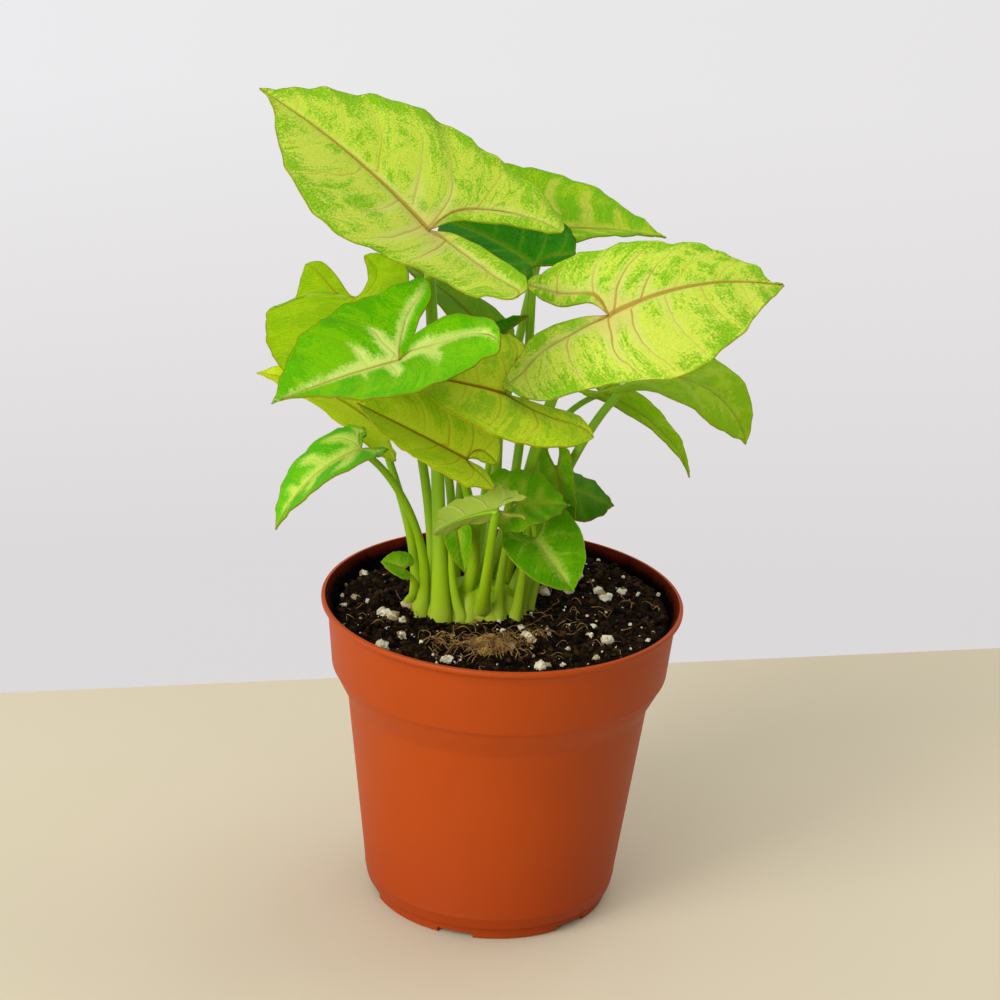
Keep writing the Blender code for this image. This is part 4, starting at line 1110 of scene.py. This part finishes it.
def soil_finish():
    """Dark wet peat with browner bits."""
    finish = Finish("soil_dark", Specular_IOR_Level=0.06)
    grain = finish.noise(0.9, detail=8.0, roughness=0.75)
    lighter = finish.step(grain * 0.8 + finish.attribute("tint") * 0.6, 0.5, 1.15)
    colour = finish.mix(lighter, tone(19, 12, 6), tone(68, 49, 27))
    finish.set(Base_Color=colour, Roughness=0.9 - grain * 0.25)
    finish.bump(grain, 0.6, 0.9)
    return finish.material


def perlite_finish():
    """White grains, some of them stained."""
    finish = Finish("perlite_grain", roughness=0.85, Specular_IOR_Level=0.2)
    grain = finish.noise(1.4, detail=6.0, roughness=0.7)
    mottle = finish.step(finish.attribute("tint") * 0.7 + grain * 0.8, 0.5, 1.2)
    finish.set(Base_Color=finish.mix(mottle, tone(224, 216, 190), tone(150, 122, 76)))
    finish.bump(grain, 0.5, 0.9)
    return finish.material


def fibre_finish():
    finish = Finish("root_fibre", roughness=0.8)
    shade = finish.step(finish.noise(0.3, detail=2.0), 0.3, 0.7)
    finish.set(Base_Color=finish.mix(shade, tone(168, 130, 66), tone(92, 62, 26)))
    return finish.material


def build_soil(finish):
    """The bed: a square sheet drawn to a disc, rough all over, its edge pulled down and closed below."""
    def surface(u, v):
        a, b = u * 2 - 1, v * 2 - 1
        x = a * np.sqrt(1 - b * b / 2) * SOIL_RADIUS
        y = b * np.sqrt(1 - a * a / 2) * SOIL_RADIUS
        z = soil_height(x, y)
        rough = np.array([
            noise.noise((p * 0.32, q * 0.32, 3.0)) * 0.9 + noise.noise((p * 0.9, q * 0.9, 7.0)) * 0.6
            + noise.noise((p * 2.1, q * 2.1, 1.0)) * 0.3 for p, q in zip(x, y)])
        edge = np.clip((np.hypot(x, y) - SOIL_RADIUS + 1.2) / 1.2, 0, 1)
        return np.stack((x, y, z + rough - 1.5 * edge), axis=1), (0.3 + 0.4 * rough,)

    bed = shaped_grid(BED_POINTS, BED_POINTS, surface, ("tint",), finish, (0, 0, 1))
    bed.name = bed.data.name = "soil_bed"
    with editing(bed):
        bpy.ops.mesh.select_all(action="DESELECT")
        bpy.ops.mesh.select_mode(type="EDGE")
        bpy.ops.mesh.select_non_manifold()
        bpy.ops.mesh.extrude_region_move(TRANSFORM_OT_translate={"value": (0, 0, -BED_DEPTH * MM)})
        bpy.ops.transform.resize(value=(BED_FOOT_SHARE, BED_FOOT_SHARE, 1.0))
        bpy.ops.mesh.edge_face_add()
        bpy.ops.mesh.select_all(action="SELECT")
        bpy.ops.mesh.normals_make_consistent(inside=False)
    smoothed(bed, 60)
    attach(bed, "root")
    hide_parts("soil")


def lump_models(count, subdivisions, roughness, seed):
    """A few rough lumps of unit radius, as vertex and face arrays."""
    models = []
    for n in range(count):
        free_selection()
        bpy.ops.mesh.primitive_ico_sphere_add(subdivisions=subdivisions, radius=1.0)
        lump = bpy.context.object
        points = []
        for vertex in lump.data.vertices:
            way = vertex.co.normalized()
            points.append(way * (1 + roughness * noise.noise(way * 1.7 + Vector((seed, n * 5.3, 0)))))
        faces = [tuple(polygon.vertices) for polygon in lump.data.polygons]
        models.append((np.array(points), np.array(faces)))
        bpy.data.objects.remove(lump, do_unlink=True)
    return models


def scattered(name, models, rows, finish):
    """One mesh of many copies of the models. A row is (place, size triple, turn, tint, model)."""
    points, faces, tints = [], [], []
    for place, size, turn, tint, model in rows:
        base, corners = models[model]
        faces.append(corners + len(tints))
        points.append((base * np.array(size)) @ np.array(turn.to_matrix()).T + np.array(place))
        tints += [tint] * len(base)
    mesh = bpy.data.meshes.new(name)
    mesh.from_pydata((np.vstack(points) * MM).tolist(), [], np.vstack(faces).tolist())
    mesh.attributes.new("tint", "FLOAT", "POINT").data.foreach_set("value", tints)
    mesh.materials.append(finish)
    piece = placed(name, mesh)
    smoothed(piece, 40)
    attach(piece, "root")


def random_turn(dice):
    """A turn that brings a random direction upright."""
    way = Vector((dice.uniform(-1, 1), dice.uniform(-1, 1), dice.uniform(-1, 1)))
    return way.normalized().rotation_difference(Vector((0, 0, 1)))


def crumbs(finish):
    """Small lumps of peat strewn over the bed, most of them very small."""
    dice = random.Random(11)
    models = lump_models(CRUMB_SHAPES, 1, 0.7, 2.0)
    rows = []
    while len(rows) < CRUMBS:
        x, y = dice.uniform(-SOIL_RADIUS, SOIL_RADIUS), dice.uniform(-SOIL_RADIUS, SOIL_RADIUS)
        radius = 0.25 + 1.0 * dice.random() ** 4
        if math.hypot(x, y) + radius > SOIL_RADIUS - 0.5:
            continue
        size = (radius, radius * dice.uniform(0.6, 1.0), radius * dice.uniform(0.5, 0.9))
        rows.append(((x, y, ground(x, y) + radius * 0.25), size, random_turn(dice), dice.random(),
                     dice.randrange(CRUMB_SHAPES)))
    scattered("soil_crumbs", models, rows, finish)


PERLITE = (
    # x, y and radius of each bigger grain
    (-43, 24, 1.4), (-48, 15, 0.9), (-44, 6, 1.4), (-40, 2, 0.9), (-28, 0, 2.0), (-35, -6, 2.0),
    (-32, -8, 2.0), (-29, -9, 1.4), (-33, -17, 1.1), (-29, -22, 1.7), (-34, -30, 2.0), (-23, -26, 0.9),
    (-15, -39, 1.7), (-18, -41, 0.6), (-14, -22, 1.1), (-12, -44, 0.6), (3, -32, 1.4), (6, -13, 1.4),
    (8, -20, 1.7), (9, -24, 1.4), (1, -13, 1.1), (-1, -8, 0.9), (-1, 6, 1.4), (14, -13, 0.9),
    (14, -21, 0.9), (9, -1, 0.9), (12, -42, 2.0), (14, -41, 1.4), (18, -39, 1.1), (12, 13, 2.3),
    (20, 15, 2.0), (23, 21, 1.7), (29, 15, 1.7), (31, 10, 2.0), (36, 15, 1.4), (37, 27, 0.9),
    (41, 13, 0.9), (29, 39, 0.9), (47, 12, 0.9), (47, 4, 0.6), (27, -11, 1.1), (26, -16, 1.1),
    (38, -9, 0.9), (31, -22, 2.0), (28, -34, 1.1), (30, -30, 0.9), (38, -26, 0.6), (45, -15, 0.9),
    (43, -21, 0.9), (20, -27, 0.9), (10, -33, 0.9), (21, -35, 0.6), (-48, 6, 0.9), (-47, -2, 1.1),
    (-46, -15, 0.9),
)


def perlite():
    """The bigger grains in threes at their places, then small ones at random."""
    dice = random.Random(5)
    models = lump_models(PERLITE_SHAPES, 2, 0.6, 9.0)
    rows = []
    for x, y, radius in PERLITE:
        for _ in range(3 if radius > 1.0 else 1):
            off = radius * 0.4
            place = (x + dice.uniform(-off, off), y + dice.uniform(-off, off), ground(x, y) + radius * 0.3)
            size = tuple(radius * dice.uniform(0.6, 0.9) for _ in range(3))
            rows.append((place, size, random_turn(dice), dice.random(), dice.randrange(PERLITE_SHAPES)))
    while len(rows) < PERLITE_GRAINS:
        x, y = dice.uniform(-PERLITE_REACH, PERLITE_REACH), dice.uniform(-PERLITE_REACH, PERLITE_REACH)
        if math.hypot(x, y) > PERLITE_REACH:
            continue
        radius = 0.2 + 0.4 * dice.random() ** 2
        size = (radius, radius * 0.8, radius * 0.7)
        rows.append(((x, y, ground(x, y) + 0.4), size, random_turn(dice), dice.random(),
                     dice.randrange(PERLITE_SHAPES)))
    scattered("perlite_grains", models, rows, perlite_finish())


TANGLES = (
    # middle x and y, spread, how many root fibres and the length of a fibre's steps
    (-2.0, -30.0, 6.5, 380, 0.7),
    (-3.0, -25.0, 9.0, 120, 0.8),
    (8.0, -20.0, 8.0, 60, 0.8),
    (-16.0, -26.0, 9.0, 50, 0.9),
    (0.0, 0.0, 46.0, 110, 0.9),
)


def fibres():
    """Root fibres: thin bent strands in tangles on the soil."""
    dice = random.Random(23)
    curve = bpy.data.curves.new("soil_fibres", "CURVE")
    curve.dimensions = "3D"
    curve.bevel_depth = FIBRE_RADIUS * MM
    curve.bevel_resolution = 1
    curve.use_fill_caps = True
    for middle_x, middle_y, spread, count, step in TANGLES:
        for _ in range(count):
            x = middle_x + dice.gauss(0, spread * 0.5)
            y = middle_y + dice.gauss(0, spread * 0.4)
            heading, lift = dice.uniform(0, 2 * math.pi), dice.uniform(0.3, 1.8)
            spline = curve.splines.new("NURBS")
            spline.points.add(FIBRE_POINTS - 1)
            for n, point in enumerate(spline.points):
                out = math.hypot(x, y)
                if out > FIBRE_REACH:
                    x, y, heading = x * FIBRE_REACH / out, y * FIBRE_REACH / out, heading + 2.0
                z = ground(x, y) + lift * math.sin(math.pi * n / (FIBRE_POINTS - 1)) + 0.3
                point.co = (x * MM, y * MM, z * MM, 1.0)
                point.radius = dice.uniform(0.6, 1.3)
                heading += dice.gauss(0, 0.7)
                x += math.cos(heading) * step
                y += math.sin(heading) * step
            spline.use_endpoint_u = True
    only(placed("soil_fibres", curve))
    bpy.ops.object.convert(target="MESH")
    piece = bpy.context.object
    piece.name = "soil_fibres"
    piece.data.materials.append(fibre_finish())
    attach(piece, "root")


# ---- The table, light and camera

def studio():
    """A pale table that ends behind the pot, a paler wall beyond it with painted shade to the right and at
    its foot, and three soft lamps.
    """
    free_selection()
    bpy.ops.mesh.primitive_plane_add(size=1.0)
    table = bpy.context.object
    table.name = "table"
    corners = [(-TABLE_HALF, -TABLE_HALF), (TABLE_HALF, -TABLE_HALF)]
    corners += [(x, TABLE_END + TABLE_SLANT * x) for x in (-TABLE_HALF, TABLE_HALF)]
    for vertex, (x, y) in zip(table.data.vertices, corners):
        vertex.co = (x, y, 0.0)
    finish = Finish("table_top", roughness=0.6, Specular_IOR_Level=0.2)
    shade = finish.noise(0.01, detail=2.0)
    finish.set(Base_Color=finish.mix(shade, tone(195, 184, 158), tone(200, 189, 163)))
    table.data.materials.append(finish.material)

    world = bpy.data.worlds.new("studio")
    bpy.context.scene.world = world
    world.use_nodes = True
    sky = Nodes(world.node_tree)
    x, y, z = sky.split(sky.node("ShaderNodeNewGeometry", out="Position"))
    lit = sky.step(x * LIGHT_WAY[0] + y * LIGHT_WAY[1] + z * LIGHT_WAY[2], -0.5, 0.95)
    above = sky.mix(lit, (AMBIENT_DARK,) * 3, (AMBIENT_BRIGHT,) * 3)
    # painted shade on the backdrop: darker to the right, away from the lamps, and in a strip just above the
    # table's far edge
    wall = sky.mix(sky.step(x, -0.2, 0.25, smooth=False), tone(236, 235, 237), tone(229, 227, 227))
    wall = sky.mix(sky.step(z, -0.24, -0.39, smooth=False) * 0.8, wall, tone(216, 212, 213))
    colour = sky.mix(sky.step(z, -0.1, 0.0), wall, above)
    sky.put(colour, world.node_tree.nodes["Background"].inputs["Color"])

    for name, place, size, power in LAMPS:
        light = bpy.data.lights.new(name, "AREA")
        light.size = size
        light.energy = power
        lamp = placed(name, light)
        lamp.location = place
        aim = Vector(LAMP_AIM) - Vector(place)
        lamp.rotation_euler = aim.to_track_quat("-Z", "Y").to_euler()


def camera():
    """The photograph's viewpoint."""
    dip, turn = CAMERA_DIP, CAMERA_TURN
    ahead = Vector((math.sin(turn) * math.cos(dip), math.cos(turn) * math.cos(dip), -math.sin(dip)))
    level = Vector((math.cos(turn), -math.sin(turn), 0.0))
    upright = level.cross(ahead)
    right = level * math.cos(CAMERA_ROLL) + upright * math.sin(CAMERA_ROLL)
    up = upright * math.cos(CAMERA_ROLL) - level * math.sin(CAMERA_ROLL)
    lens = bpy.data.cameras.new("photo_camera")
    lens.lens = CAMERA_LENS
    lens.sensor_width = SENSOR
    lens.clip_end = 20.0
    eye = placed("photo_camera", lens)
    eye.matrix_world = (Matrix.Translation(Vector(CAMERA_PLACE) * MM)
                        @ Matrix((right, up, -ahead)).transposed().to_4x4())
    bpy.context.scene.camera = eye


camera()
studio()
build_pot()
dirt = soil_finish()
build_soil(dirt)
crumbs(dirt)
perlite()
fibres()
skin = stalk_finish()
faces = {word: (blade_finish(f"{word}_blade", look), underside_finish(f"{word}_underside", look))
         for word, look in LOOKS.items()}
for leaf in LEAVES:
    build_leaf(leaf, faces[leaf.look], skin)
free_selection()
bpy.context.scene.view_settings.view_transform = "Standard"
